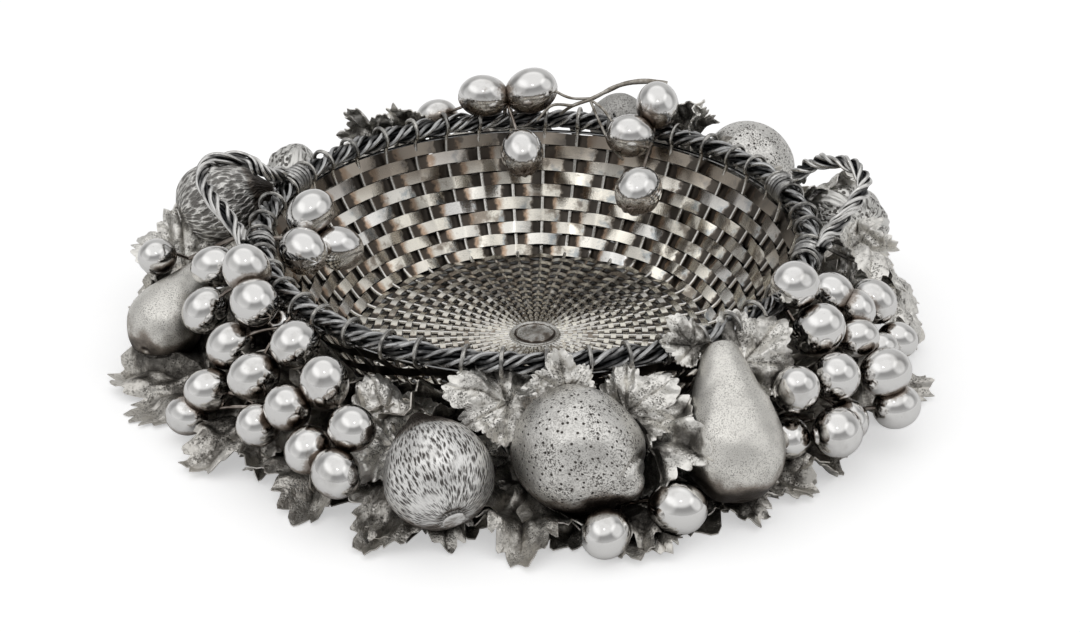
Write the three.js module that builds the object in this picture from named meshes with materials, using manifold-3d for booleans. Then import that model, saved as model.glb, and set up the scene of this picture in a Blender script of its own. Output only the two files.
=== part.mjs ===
// Centrepiece basket woven of silver strip, its rope rim wreathed with fruit, grapes and vine leaves.
// Millimetres, +Z up, origin under the middle of the base, -Y the front.

import * as THREE from 'three';
import { mergeVertices } from 'three/addons/utils/BufferGeometryUtils.js';
import Module from 'manifold-3d';

const wasm = await Module();
wasm.setup();

// Shared sizes
const clearance = 0.3;
const weldDistance = 0.0001;

// Basket: spokes, floor and wall
const stakeCount = 45;
const stakeWire = 1.5;
const hubRadius = 14.5;
const hubBase = 2.4;
const hubHeight = 4.4;
const hubBite = 1;
const centreFootRadius = 26.5;
const floorLevel = 3.4;
const cornerRadius = 99.5;
const cornerGap = 2.5;
const stripThickness = 0.5;
const rowGap = 0.7;
const floorWeaveRadius = 27;
const floorTurns = 3;
const wallTurns = 6;
const wallTopGap = 1.6;
const hoopWire = 1.2;

// Rope rim and the hooks in which the stakes end
const rimRadius = 143;
const rimHeight = 67;
const rimRope = 11;
const rimTwists = 5;
const rimSteps = 60;
const wallDrop = 3.9;
const wallTopAngle = 240;
const hookFrom = 205;
const hookTo = -60;
const hookSteps = 5;

// Foot hoop on which the basket stands
const footInset = 2;
const footWidth = 10;
const footInner = cornerRadius - footInset;
const footOuter = footInner + footWidth;
const footBead = 3;
const footBeadHeight = 5;
const footSlope = 2;
const hoopSegments = 30;

// Medallion over the crossing of the spokes
const plateRadius = 13;
const plateThickness = 1.2;
const plateBorder = 1.2;
const plateBorderHeight = 2;
const plateSegments = 20;

// Rope handles and the wire wound round the rim at their ends
const handleRope = 9;
const handleTwists = 2;
const handleSteps = 20;
const lashWire = 2.3;
const lashPitch = 2.95;
const lashSteps = 10;
const lashSides = 4;

// Garland
const stemWire = 2.4;
const stemSides = 3;
const grapeRadius = 12;
const grapeLengthShare = 1.1;
const rimKnotShare = 0.5;
const footKnotShare = 0.2;
const leafThickness = 1.1;
const leafWidthShare = 1.1;
const leafCupShare = 0.1;
const leafLeanShare = 0.6;
const lemonRadius = 30;
const figRadius = 26;
const pearRadius = 24.5;
const walnutRadius = 22.5;
const quinceRadius = 17;

// Silver in the finishes that the object shows
function silver(color, roughness) {
  return new THREE.MeshStandardMaterial({ color, roughness, metalness: 1 });
}

const stripSilver = silver(0xa8a49d, 0.25);
const wireSilver = silver(0x77746f, 0.4);
const grapeSilver = silver(0xc9c7c2, 0.12);
const satinSilver = silver(0xb4b3ae, 0.5);
const pittedSilver = silver(0x9d9a94, 0.45);
const chasedSilver = silver(0xa5a39c, 0.4);
const leafSilver = silver(0x8a857c, 0.38);

// Places
const radians = THREE.MathUtils.degToRad;
const shareOfTurn = (index, count) => (360 * index) / count;

// A point at an angle in degrees round the basket, a radius from its axis and a height.
function around(angle, radius, height) {
  const turn = radians(angle);
  return new THREE.Vector3(radius * Math.cos(turn), radius * Math.sin(turn), height);
}

// A place of the garland, given as an angle and as shares of the rim's radius and height.
function garlandPlace([angle, outShare, upShare]) {
  return around(angle, outShare * rimRadius, upShare * rimHeight);
}

// A point beside the rope's middle, in the plane of radius and height.
function besideRim(angle, distance) {
  const turn = radians(angle);
  return new THREE.Vector2(rimRadius + distance * Math.cos(turn), rimHeight + distance * Math.sin(turn));
}

// Skins and solids

// Joins rings of points, all with the same count, into one closed skin.
function skin(rings, endless = false) {
  const sides = rings[0].length;
  const faces = [];
  const spans = endless ? rings.length : rings.length - 1;
  for (let ring = 0; ring < spans; ring += 1) {
    const here = ring * sides;
    const next = ((ring + 1) % rings.length) * sides;
    for (let side = 0; side < sides; side += 1) {
      const after = (side + 1) % sides;
      faces.push(here + side, here + after, next + after);
      faces.push(here + side, next + after, next + side);
    }
  }
  if (!endless) {
    const last = (rings.length - 1) * sides;
    for (let side = 1; side < sides - 1; side += 1) {
      faces.push(0, side + 1, side);
      faces.push(last, last + side, last + side + 1);
    }
  }
  const geometry = new THREE.BufferGeometry();
  const positions = rings.flat().flatMap((point) => point.toArray());
  geometry.setAttribute('position', new THREE.Float32BufferAttribute(positions, 3));
  geometry.setIndex(faces);
  return geometry;
}

// Six times the volume that a skin encloses, negative when its faces point in.
function windingOf(geometry) {
  const points = geometry.getAttribute('position');
  const corners = [new THREE.Vector3(), new THREE.Vector3(), new THREE.Vector3()];
  let sum = 0;
  for (let start = 0; start < geometry.index.count; start += 3) {
    corners.forEach((corner, offset) => {
      corner.fromBufferAttribute(points, geometry.index.getX(start + offset));
    });
    sum += corners[0].dot(corners[1].clone().cross(corners[2]));
  }
  return sum;
}

// A skin with shared corners merged and its faces pointing out.
function welded(source) {
  const bare = source.clone();
  bare.deleteAttribute('normal');
  bare.deleteAttribute('uv');
  const geometry = mergeVertices(bare, weldDistance);
  if (windingOf(geometry) < 0) {
    const faces = Array.from(geometry.index.array);
    for (let start = 0; start < faces.length; start += 3) {
      [faces[start + 1], faces[start + 2]] = [faces[start + 2], faces[start + 1]];
    }
    geometry.setIndex(faces);
  }
  return geometry;
}

// The solid that a closed skin encloses.
function solidOf(source) {
  const geometry = welded(source);
  const vertProperties = new Float32Array(geometry.getAttribute('position').array);
  const triVerts = new Uint32Array(geometry.index.array);
  return new wasm.Manifold(new wasm.Mesh({ numProp: 3, vertProperties, triVerts }));
}

// The skin of a solid, as a geometry that can be drawn.
function geometryOf(solid) {
  const mesh = solid.getMesh();
  const geometry = new THREE.BufferGeometry();
  geometry.setAttribute('position', new THREE.BufferAttribute(new Float32Array(mesh.vertProperties), 3));
  geometry.setIndex(Array.from(mesh.triVerts));
  return geometry;
}

const joined = (solids) => solids.reduce((whole, solid) => whole.add(solid));

// A skin turned about the basket's axis from points of radius and height.
function turned(profile, segments) {
  return new THREE.LatheGeometry(profile, segments).rotateX(Math.PI / 2);
}

const pairs = (points) => points.map(([across, along]) => new THREE.Vector2(across, along));

// A straight rod between two places.
function rod(from, to, wire) {
  const shape = new THREE.Shape();
  for (let side = 0; side < stemSides; side += 1) {
    const turn = radians(shareOfTurn(side, stemSides));
    const point = [(wire / 2) * Math.cos(turn), (wire / 2) * Math.sin(turn)];
    if (side === 0) {
      shape.moveTo(...point);
    } else {
      shape.lineTo(...point);
    }
  }
  const path = new THREE.LineCurve3(from, to);
  return new THREE.ExtrudeGeometry(shape, { steps: 1, bevelEnabled: false, extrudePath: path });
}

// The corners of a rope's section: three strands stand out and the hollows between them lie deeper.
function strandedRing(centre, across, up, radius, turn) {
  const hollowShare = 0.8;
  const corners = 6;
  return Array.from({ length: corners }, (_, corner) => {
    const angle = turn + radians(shareOfTurn(corner, corners));
    const reach = corner % 2 === 0 ? radius : radius * hollowShare;
    const point = centre.clone().addScaledVector(across, reach * Math.cos(angle));
    return point.addScaledVector(up, reach * Math.sin(angle));
  });
}

// Basket pieces

// The line of one stake in radius and height: spoke, wall and the hook over the rope.
function stakeLine() {
  const halfStep = radians((hookFrom - hookTo) / hookSteps / 2);
  const hookRadius = (rimRope / 2 + clearance + stakeWire / 2) / Math.cos(halfStep);
  const points = [
    new THREE.Vector2(hubRadius - hubBite, floorLevel),
    new THREE.Vector2(cornerRadius, floorLevel),
    wallTop(),
  ];
  for (let step = 0; step <= hookSteps; step += 1) {
    points.push(besideRim(hookFrom + ((hookTo - hookFrom) * step) / hookSteps, hookRadius));
  }
  return points;
}

function wallTop() {
  return besideRim(wallTopAngle, rimRope / 2 + wallDrop);
}

// A square wire along a line of radius and height, standing at one angle round the basket.
function stake(line, angle, wire) {
  const outward = around(angle, 1, 0);
  const sideways = around(angle + 90, 1, 0);
  const up = new THREE.Vector3(0, 0, 1);
  const rings = line.map((point, index) => {
    const before = line[Math.max(index - 1, 0)];
    const after = line[Math.min(index + 1, line.length - 1)];
    const incoming = point.clone().sub(before).normalize();
    const outgoing = after.clone().sub(point).normalize();
    const heading = incoming.clone().add(outgoing).normalize();
    const bend = Math.max(heading.dot(index === 0 ? outgoing : incoming), 0.5);
    const normal = new THREE.Vector2(-heading.y, heading.x).multiplyScalar(wire / 2 / bend);
    const middle = outward.clone().multiplyScalar(point.x).addScaledVector(up, point.y);
    const offset = outward.clone().multiplyScalar(normal.x).addScaledVector(up, normal.y);
    const half = sideways.clone().multiplyScalar(wire / 2);
    return [
      middle.clone().add(offset).add(half),
      middle.clone().add(offset).sub(half),
      middle.clone().sub(offset).sub(half),
      middle.clone().sub(offset).add(half),
    ];
  });
  return skin(rings);
}

function stakeFrame(grow) {
  const line = stakeLine();
  const wires = Array.from({ length: stakeCount }, (_, index) => (
    solidOf(stake(line, shareOfTurn(index, stakeCount), stakeWire + 2 * grow))
  ));
  const half = shareOfTurn(0.5, stakeCount);
  const profile = [[0, hubBase], [hubRadius, hubBase], [hubRadius, hubHeight], [0, hubHeight]];
  const hub = turned(pairs(profile), stakeCount);
  hub.rotateZ(radians(half));
  return joined([solidOf(hub), ...wires]);
}

// One flat strip that spirals from start to end and passes in turn over and under the stakes.
function wovenStrip(start, end, turns, grow) {
  const along = end.clone().sub(start);
  const pitch = along.length() / (turns + 1);
  along.normalize();
  const normal = new THREE.Vector2(-along.y, along.x);
  const halfWidth = (pitch - rowGap) / 2 + grow;
  const halfThickness = stripThickness / 2 + grow;
  const corners = [[1, 1], [1, -1], [-1, -1], [-1, 1]];
  const rings = [];
  for (let crossing = 0; crossing <= turns * stakeCount; crossing += 1) {
    const travelled = pitch / 2 + (pitch * crossing) / stakeCount;
    const middle = start.clone().addScaledVector(along, travelled);
    const spacing = (2 * Math.PI * middle.x) / stakeCount;
    const lift = (stakeWire / 2 + clearance + stripThickness / 2) / (1 - stakeWire / spacing);
    middle.addScaledVector(normal, crossing % 2 === 0 ? lift : -lift);
    rings.push(corners.map(([edge, face]) => {
      const point = middle.clone().addScaledVector(along, edge * halfWidth);
      point.addScaledVector(normal, face * halfThickness);
      return around(shareOfTurn(crossing, stakeCount), point.x, point.y);
    }));
  }
  return skin(rings);
}

function floorWeave() {
  const start = new THREE.Vector2(floorWeaveRadius, floorLevel);
  const end = new THREE.Vector2(cornerRadius - cornerGap, floorLevel);
  return wovenStrip(start, end, floorTurns, 0);
}

function wallWeave(grow) {
  const foot = new THREE.Vector2(cornerRadius, floorLevel);
  const rise = wallTop().sub(foot);
  const start = foot.clone().addScaledVector(rise, cornerGap / rise.length());
  const end = foot.clone().addScaledVector(rise, 1 - wallTopGap / rise.length());
  return wovenStrip(start, end, wallTurns, grow);
}

// The thin hoop round the outside of the stakes where the wall ends.
function topHoop(grow) {
  const foot = new THREE.Vector2(cornerRadius, floorLevel);
  const rise = wallTop().sub(foot).normalize();
  const outward = new THREE.Vector2(rise.y, -rise.x);
  const reach = stakeWire / 2 + clearance + hoopWire / 2;
  const middle = wallTop().addScaledVector(outward, reach);
  const half = hoopWire / 2 + grow;
  const corners = [[1, 1], [-1, 1], [-1, -1], [1, -1], [1, 1]];
  const profile = corners.map(([side, rising]) => (
    middle.clone().addScaledVector(outward, side * half).addScaledVector(rise, rising * half)
  ));
  const geometry = turned(profile, stakeCount);
  return geometry.rotateZ(Math.PI / 2);
}

function rimRopeSkin(grow) {
  const up = new THREE.Vector3(0, 0, 1);
  const rings = Array.from({ length: rimSteps }, (_, step) => {
    const angle = shareOfTurn(step, rimSteps);
    const turn = radians(angle * rimTwists);
    const centre = around(angle, rimRadius, rimHeight);
    return strandedRing(centre, around(angle, 1, 0), up, rimRope / 2 + grow, turn);
  });
  return skin(rings, true);
}

function footHoop(grow) {
  const lip = floorLevel - stakeWire / 2 - clearance;
  const profile = [
    [footInner - grow, 0],
    [footOuter + grow, 0],
    [footOuter + grow, footBeadHeight + grow],
    [footOuter - footBead - grow, footBeadHeight + grow],
    [footOuter - footBead - footSlope - grow, lip],
    [footInner - grow, lip],
    [footInner - grow, 0],
  ];
  return turned(pairs(profile), hoopSegments);
}

// The disc under the middle, on which the crossing of the spokes rests.
function centreFoot() {
  const top = hubBase - clearance;
  const profile = [[0, 0], [centreFootRadius, 0], [centreFootRadius, top], [0, top]];
  return turned(pairs(profile), plateSegments);
}

function centrePlate() {
  const base = hubHeight + clearance;
  const profile = [
    [0, base],
    [plateRadius, base],
    [plateRadius, base + plateBorderHeight],
    [plateRadius - plateBorder, base + plateBorderHeight],
    [plateRadius - 2 * plateBorder, base + plateThickness],
    [0, base + plateThickness],
  ];
  return turned(pairs(profile), plateSegments);
}

// Handles: angles in degrees, then shares of the rim's radius and of its height
const leftHandleShares = [
  [190.9, 1.055, 1.09],
  [185.3, 1.1, 1.18],
  [180.2, 1.18, 1.3],
  [175, 1.22, 1.36],
  [170.4, 1.21, 1.39],
  [166.8, 1.12, 1.35],
  [166, 1.05, 1.26],
  [162.3, 1.01, 1.15],
  [157.1, 1.055, 1.09],
];
const rightHandleShares = [
  [346.6, 1.055, 1.09],
  [350.8, 1.07, 1.14],
  [353.2, 1.12, 1.25],
  [356.3, 1.16, 1.33],
  [359.2, 1.19, 1.39],
  [2.9, 1.19, 1.45],
  [6.5, 1.15, 1.46],
  [10.6, 1.1, 1.4],
  [14, 1.06, 1.31],
  [16.8, 1.03, 1.2],
  [19.5, 1.055, 1.09],
];

function handle(shares, grow) {
  const path = new THREE.CatmullRomCurve3(shares.map(garlandPlace), false, 'centripetal');
  const frames = path.computeFrenetFrames(handleSteps, false);
  const rings = Array.from({ length: handleSteps + 1 }, (_, step) => {
    const turn = radians(shareOfTurn(step * handleTwists, handleSteps));
    const centre = path.getPointAt(step / handleSteps);
    return strandedRing(centre, frames.normals[step], frames.binormals[step], handleRope / 2 + grow, turn);
  });
  return skin(rings);
}

// The centre line of a wire wound round the rim: loops side by side and straight ends.
function lashLine(angle, loops) {
  const loopRadius = (rimRope / 2 + clearance + lashWire / 2) / Math.cos(Math.PI / lashSteps);
  const perStep = lashPitch / lashSteps;
  const up = new THREE.Vector3(0, 0, 1);
  const points = Array.from({ length: loops * lashSteps + 1 }, (_, step) => {
    const travelled = (step - (loops * lashSteps) / 2) * perStep;
    const place = angle + THREE.MathUtils.radToDeg(travelled / rimRadius);
    const turn = radians(shareOfTurn(step, lashSteps));
    const centre = around(place, rimRadius + loopRadius * Math.cos(turn), rimHeight);
    return centre.addScaledVector(up, loopRadius * Math.sin(turn));
  });
  const first = points[0].clone().sub(points[1]).setLength(lashWire).add(points[0]);
  const final = points.at(-1).clone().sub(points.at(-2)).setLength(lashWire).add(points.at(-1));
  return [first, ...points, final];
}

// A round wire through a line of points.
function wireSkin(points, wire, sides) {
  let across = new THREE.Vector3(0, 0, 1);
  const rings = points.map((point, index) => {
    const before = points[Math.max(index - 1, 0)];
    const after = points[Math.min(index + 1, points.length - 1)];
    const heading = after.clone().sub(before).normalize();
    across = across.clone().addScaledVector(heading, -across.dot(heading)).normalize();
    const up = heading.clone().cross(across);
    return Array.from({ length: sides }, (_, side) => {
      const turn = radians(shareOfTurn(side, sides));
      const corner = point.clone().addScaledVector(across, (wire / 2) * Math.cos(turn));
      return corner.addScaledVector(up, (wire / 2) * Math.sin(turn));
    });
  });
  return skin(rings);
}

// The least gap of a wound wire to itself, between points more than half a loop apart.
function leastGap(points) {
  let least = Infinity;
  for (let one = 0; one < points.length; one += 1) {
    for (let two = one + lashSteps / 2; two < points.length; two += 1) {
      least = Math.min(least, points[one].distanceTo(points[two]) - lashWire);
    }
  }
  return least;
}

// Fruit

// Outlines of the fruit as shares of its radius: how far from its axis, and how far along it
const lemonShares = [
  [0, -1.1],
  [0.5, -0.9],
  [0.88, -0.48],
  [1, 0],
  [0.88, 0.5],
  [0.48, 0.93],
  [0.16, 1.08],
  [0, 1.22],
];
const figShares = [
  [0, -0.95],
  [0.5, -0.86],
  [0.88, -0.48],
  [1, 0],
  [0.84, 0.52],
  [0.45, 0.95],
  [0.14, 1.25],
  [0, 1.32],
];
const pearShares = [
  [0, -1],
  [0.52, -0.88],
  [0.9, -0.44],
  [1, 0.02],
  [0.9, 0.56],
  [0.7, 1.1],
  [0.5, 1.62],
  [0.34, 2],
  [0, 2.16],
];
const nutShares = [
  [0, -1.02],
  [0.5, -0.87],
  [0.87, -0.5],
  [1, 0],
  [0.87, 0.5],
  [0.46, 0.9],
  [0, 1.08],
];

// Place as for the handles, heading of the axis in degrees round and up, and the carrier of the stalk
const fruitShares = {
  lemon_front: { outline: lemonShares, at: [276.8, 1.24, 0.58], heading: [-35, -15], on: 'foot', size: 1 },
  fig_front: { outline: figShares, at: [256.7, 1.36, 0.5], heading: [112, 40], on: 'foot', size: 1 },
  pear_front: { outline: pearShares, at: [299.6, 1.34, 0.5], heading: [100, 45], on: 'foot', size: 1 },
  pear_left: { outline: pearShares, at: [189.2, 1.36, 0.42], heading: [61, 23], on: 'foot', size: 0.8 },
  fig_left: { outline: figShares, at: [160.6, 1.28, 0.78], heading: [20, 10], on: 'rim', size: 0.93 },
  walnut_left: { outline: nutShares, at: [141, 1.225, 0.74], heading: [60, 50], on: 'rim', size: 0.66 },
  walnut_right: { outline: nutShares, at: [17.4, 1.24, 0.63], heading: [-70, 25], on: 'rim', size: 1 },
  lemon_back: { outline: lemonShares, at: [46.2, 1.23, 0.68], heading: [130, 10], on: 'rim', size: 0.84 },
  quince_back: { outline: nutShares, at: [74.1, 1.23, 0.79], heading: [0, 80], on: 'rim', size: 1 },
  fig_back: { outline: figShares, at: [97, 1.24, 0.42], heading: [240, 30], on: 'foot', size: 0.9 },
  pear_back: { outline: pearShares, at: [124, 1.28, 0.4], heading: [30, 12], on: 'foot', size: 0.85 },
};

// How large each kind of fruit is, by its outline
const fruitRadii = new Map([
  [lemonShares, lemonRadius],
  [figShares, figRadius],
  [pearShares, pearRadius],
  [nutShares, walnutRadius],
]);

function fruitRadius(name, share) {
  return name === 'quince_back' ? quinceRadius : fruitRadii.get(share.outline) * share.size;
}

// The place on a carrier nearest to a piece of the garland: the foot hoop's bead or the rope.
function carrierPlace(on, place) {
  const angle = THREE.MathUtils.radToDeg(Math.atan2(place.y, place.x));
  if (on === 'rim') {
    return around(angle, rimRadius, rimHeight);
  }
  return around(angle, footOuter - footBead / 2, footBeadHeight / 2);
}

function fruit(name, share, grow) {
  const radius = fruitRadius(name, share) + grow;
  const segments = 10;
  const place = garlandPlace(share.at);
  const [round, rising] = share.heading.map(radians);
  const axis = new THREE.Vector3(Math.cos(round), Math.sin(round), Math.tan(rising)).normalize();
  const outline = pairs(share.outline).map((point) => point.multiplyScalar(radius));
  const body = new THREE.LatheGeometry(outline, segments);
  body.applyQuaternion(new THREE.Quaternion().setFromUnitVectors(new THREE.Vector3(0, 1, 0), axis));
  body.translate(place.x, place.y, place.z);
  const stalk = rod(place, carrierPlace(share.on, place), stemWire + 2 * grow);
  return solidOf(body).add(solidOf(stalk));
}

// Grapes: each sprig has one carrier, then the grapes' places and their shares of the full size
const sprigShares = {
  grapes_left_top: {
    on: 'rim',
    grapes: [
      [190, 1.17, 0.9, 0.9],
      [205, 1.105, 1.16, 1],
      [198, 1.23, 0.72, 0.93],
      [211, 1.13, 1.02, 1],
    ],
  },
  grapes_left_middle: {
    on: 'rim',
    grapes: [
      [209, 1.21, 0.66, 0.96],
      [224, 1.13, 0.9, 1],
      [220, 1.25, 0.66, 0.97],
      [211, 1.01, 0.75, 0.84],
    ],
  },
  grapes_left_low: {
    on: 'foot',
    grapes: [
      [211, 1.32, 0.39, 0.95],
      [210, 1.4, 0.2, 0.84],
      [226, 1.34, 0.45, 0.9],
      [231, 1.31, 0.66, 0.95],
    ],
  },
  grapes_left_front: {
    on: 'foot',
    grapes: [
      [235, 1.22, 0.84, 1],
      [243, 1.32, 0.69, 0.95],
      [237, 1.37, 0.48, 0.95],
      [243, 1.43, 0.45, 0.97],
    ],
  },
  grapes_inside_left: {
    on: 'rim',
    grapes: [
      [179, 0.82, 1.13, 0.96],
      [191, 0.85, 0.99, 1],
      [182, 0.72, 0.87, 0.96],
    ],
  },
  grapes_right_top: {
    on: 'rim',
    grapes: [
      [325.5, 1.085, 1.2, 1],
      [336, 1.14, 0.96, 0.88],
      [336, 1.23, 0.87, 0.8],
      [342, 1.26, 0.81, 0.92],
    ],
  },
  grapes_right_middle: {
    on: 'rim',
    knot: [328, 1.12, 0.68],
    grapes: [
      [325, 1.19, 0.9, 1.05],
      [331, 1.28, 0.76, 0.8],
      [335.5, 1.335, 0.6, 0.66],
      [341, 1.36, 0.54, 0.77],
    ],
  },
  grapes_right_low: {
    on: 'foot',
    grapes: [
      [321, 1.32, 0.69, 1],
      [313, 1.29, 0.72, 0.96],
      [329, 1.41, 0.6, 1],
      [321, 1.38, 0.37, 0.82],
    ],
  },
  grapes_right_front: {
    on: 'foot',
    grapes: [
      [316, 1.42, 0.42, 1.03],
      [312, 1.29, 0.33, 0.88],
      [329, 1.46, 0.34, 0.92],
    ],
  },
  grapes_front: {
    on: 'foot',
    grapes: [
      [279, 1.49, 0.2, 0.97],
      [289, 1.44, 0.27, 1.06],
    ],
  },
  grapes_back: {
    on: 'rim',
    knot: [97, 0.97, 1.22],
    grapes: [
      [102, 0.98, 1.25, 1],
      [91, 0.97, 1.29, 1.06],
      [94, 0.73, 0.95, 1],
      [111, 1.1, 0.99, 0.86],
    ],
  },
  grapes_back_right: {
    on: 'rim',
    grapes: [
      [64, 0.85, 1.07, 1],
      [51, 0.63, 0.84, 1.06],
      [61, 0.99, 1.25, 1],
    ],
  },
};

// A sprig: grapes on stems that meet in a knot, and the stem that carries the knot.
function sprig(share, grow) {
  const grapes = share.grapes.map(([angle, outShare, upShare, size]) => (
    { place: garlandPlace([angle, outShare, upShare]), size }
  ));
  const middle = new THREE.Vector3();
  grapes.forEach(({ place }) => middle.addScaledVector(place, 1 / grapes.length));
  const carrier = carrierPlace(share.on, middle);
  const knotShare = share.on === 'rim' ? rimKnotShare : footKnotShare;
  const knot = share.knot ? garlandPlace(share.knot) : middle.clone().lerp(carrier, knotShare);
  const wire = stemWire + 2 * grow;
  const solids = [solidOf(rod(carrier, knot, wire))];
  grapes.forEach(({ place, size }) => {
    const radius = grapeRadius * size + grow;
    const stem = place.clone().sub(knot).normalize();
    const round = new THREE.SphereGeometry(1, 6, 4);
    round.scale(radius, radius * grapeLengthShare, radius);
    round.applyQuaternion(new THREE.Quaternion().setFromUnitVectors(new THREE.Vector3(0, 1, 0), stem));
    round.translate(place.x, place.y, place.z);
    solids.push(solidOf(round));
    solids.push(solidOf(rod(knot, place, wire)));
  });
  return joined(solids);
}

// Leaves

// Half of a vine leaf's outline as shares of its length: along the midrib and across it
const leafShares = [
  [-0.16, 0.16],
  [-0.05, 0.36],
  [0.14, 0.3],
  [0.36, 0.5],
  [0.58, 0.27],
];
const heartShare = 0.28;

// Base and tip of each leaf, its roll about the midrib in degrees, and the carrier of its stalk
const leafPlaceShares = {
  leaf_left_low: { base: [200, 1.24, 0.2], tip: [190, 1.59, 0.13], roll: 0, on: 'foot' },
  leaf_left: { base: [173, 1.3, 0.3], tip: [170, 1.57, 0.12], roll: 0, on: 'foot' },
  leaf_front_left: { base: [218, 1.18, 0.18], tip: [218, 1.55, 0.13], roll: 0, on: 'foot' },
  leaf_under_grapes: { base: [233, 1.08, 0.2], tip: [238, 1.52, 0.13], roll: 0, on: 'foot' },
  leaf_under_fig: { base: [254, 1.1, 0.16], tip: [250, 1.52, 0.13], roll: 0, on: 'foot' },
  leaf_beside_fig: { base: [246, 1.16, 0.4], tip: [238, 1.04, 0.8], roll: 20, on: 'foot' },
  leaf_rim_left: { base: [268, 1.14, 0.78], tip: [253, 1.13, 0.96], roll: 0, on: 'rim' },
  leaf_rim_middle: { base: [276, 1.13, 0.8], tip: [277, 1.1, 1.27], roll: 0, on: 'rim' },
  leaf_rim_right: { base: [284, 1.16, 0.7], tip: [294, 1.14, 0.99], roll: 0, on: 'rim' },
  leaf_lemon_right: { base: [290, 1.13, 0.5], tip: [299, 1.25, 0.3], roll: 30, on: 'foot' },
  leaf_lemon_low: { base: [269, 1.15, 0.22], tip: [268, 1.56, 0.13], roll: 0, on: 'foot' },
  leaf_front: { base: [281, 1.15, 0.14], tip: [284, 1.59, 0.13], roll: 0, on: 'foot' },
  leaf_under_pear: { base: [303, 1.14, 0.14], tip: [312, 1.44, 0.13], roll: 0, on: 'foot' },
  leaf_right_front: { base: [320, 1.14, 0.16], tip: [317, 1.46, 0.13], roll: 0, on: 'foot' },
  leaf_pear_right: { base: [308, 1.14, 0.76], tip: [321, 1.13, 1.12], roll: 0, on: 'rim' },
  leaf_pear_rim: { base: [300, 1.14, 1.04], tip: [299, 0.98, 1.32], roll: 0, on: 'rim' },
  leaf_right: { base: [1, 1.2, 0.5], tip: [356, 1.47, 0.15], roll: 0, on: 'foot' },
  leaf_right_tip: { base: [340, 1.22, 0.14], tip: [344, 1.51, 0.13], roll: 0, on: 'foot' },
  leaf_handle_right: { base: [28, 1.2, 0.74], tip: [18, 1.27, 1.12], roll: 30, on: 'rim' },
  leaf_back_left: { base: [124, 1.13, 0.88], tip: [130, 1.17, 1.2], roll: 0, on: 'rim' },
  leaf_back_middle: { base: [116, 1.12, 0.85], tip: [121, 1.13, 1.2], roll: 0, on: 'rim' },
  leaf_back_right: { base: [60, 1.14, 0.93], tip: [54, 1.12, 1.27], roll: 0, on: 'rim' },
  leaf_behind_left: { base: [142, 1.12, 0.16], tip: [146, 1.46, 0.13], roll: 0, on: 'foot' },
};

// A cupped vine leaf of even thickness, with a stalk from near its base to its carrier.
function leaf(share, grow) {
  const base = garlandPlace(share.base);
  const tip = garlandPlace(share.tip);
  const length = base.distanceTo(tip);
  const forward = tip.clone().sub(base).normalize();
  const outward = new THREE.Vector3(base.x, base.y, 0).normalize();
  const rough = new THREE.Vector3(0, 0, 1).addScaledVector(outward, leafLeanShare);
  const sideways = rough.cross(forward).normalize().applyAxisAngle(forward, radians(share.roll));
  const face = forward.clone().cross(sideways);
  const half = leafThickness / 2 + grow;
  const spread = length + grow;
  const edgeOf = (side) => leafShares.map(([along, across]) => {
    const cup = leafCupShare * length * (across - along * along);
    const place = base.clone().addScaledVector(forward, along * spread);
    place.addScaledVector(sideways, side * across * leafWidthShare * spread);
    return place.addScaledVector(face, cup);
  });
  const notch = base.clone().addScaledVector(forward, -grow);
  const point = tip.clone().addScaledVector(face, -leafCupShare * length);
  const outline = [notch, ...edgeOf(1), point, ...edgeOf(-1).reverse()];
  const heart = base.clone().addScaledVector(forward, heartShare * length);
  const points = [heart, ...outline].flatMap((place) => (
    [1, -1].map((side) => place.clone().addScaledVector(face, side * half))
  ));
  const faces = [];
  for (let index = 1; index <= outline.length; index += 1) {
    const here = 2 * index;
    const next = index < outline.length ? here + 2 : 2;
    faces.push(0, here, next, 1, next + 1, here + 1);
    faces.push(here, here + 1, next + 1, here, next + 1, next);
  }
  const blade = new THREE.BufferGeometry();
  const positions = points.flatMap((place) => place.toArray());
  blade.setAttribute('position', new THREE.Float32BufferAttribute(positions, 3));
  blade.setIndex(faces);
  const root = base.clone().lerp(heart, 0.5);
  const stalk = rod(root, carrierPlace(share.on, base), stemWire + 2 * grow);
  return solidOf(blade).add(solidOf(stalk));
}

// Assembly

const basket = new THREE.Group();
const neighbours = [];

function show(name, material, geometry) {
  const mesh = new THREE.Mesh(geometry, material);
  mesh.name = name;
  basket.add(mesh);
}

function boxesMeet(one, two) {
  return [0, 1, 2].every((axis) => one.min[axis] < two.max[axis] && two.min[axis] < one.max[axis]);
}

// Every later piece keeps clear of the grown form of this one.
function keepClearOf(grown) {
  neighbours.push({ grown, box: grown.boundingBox() });
}

// Adds a piece, cut back to the clearance from every earlier one that it meets.
function seat(name, material, shape) {
  let solid = shape(0);
  neighbours.filter(({ box }) => boxesMeet(box, solid.boundingBox())).forEach(({ grown }) => {
    solid = solid.subtract(grown);
  });
  const bodies = solid.decompose().sort((one, two) => two.volume() - one.volume());
  show(name, material, geometryOf(bodies[0]));
  keepClearOf(shape(clearance));
}

show('foot_hoop', wireSilver, welded(footHoop(0)));
show('centre_foot', wireSilver, welded(centreFoot()));
show('stake_frame', wireSilver, geometryOf(stakeFrame(0)));
show('centre_plate', satinSilver, welded(centrePlate()));
show('floor_weave', stripSilver, welded(floorWeave()));
show('wall_weave', stripSilver, welded(wallWeave(0)));
show('top_hoop', wireSilver, welded(topHoop(0)));
show('rim_rope', wireSilver, welded(rimRopeSkin(0)));
keepClearOf(solidOf(footHoop(clearance)));
keepClearOf(stakeFrame(clearance));
keepClearOf(solidOf(wallWeave(clearance)));
keepClearOf(solidOf(topHoop(clearance)));
keepClearOf(solidOf(rimRopeSkin(clearance)));

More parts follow.
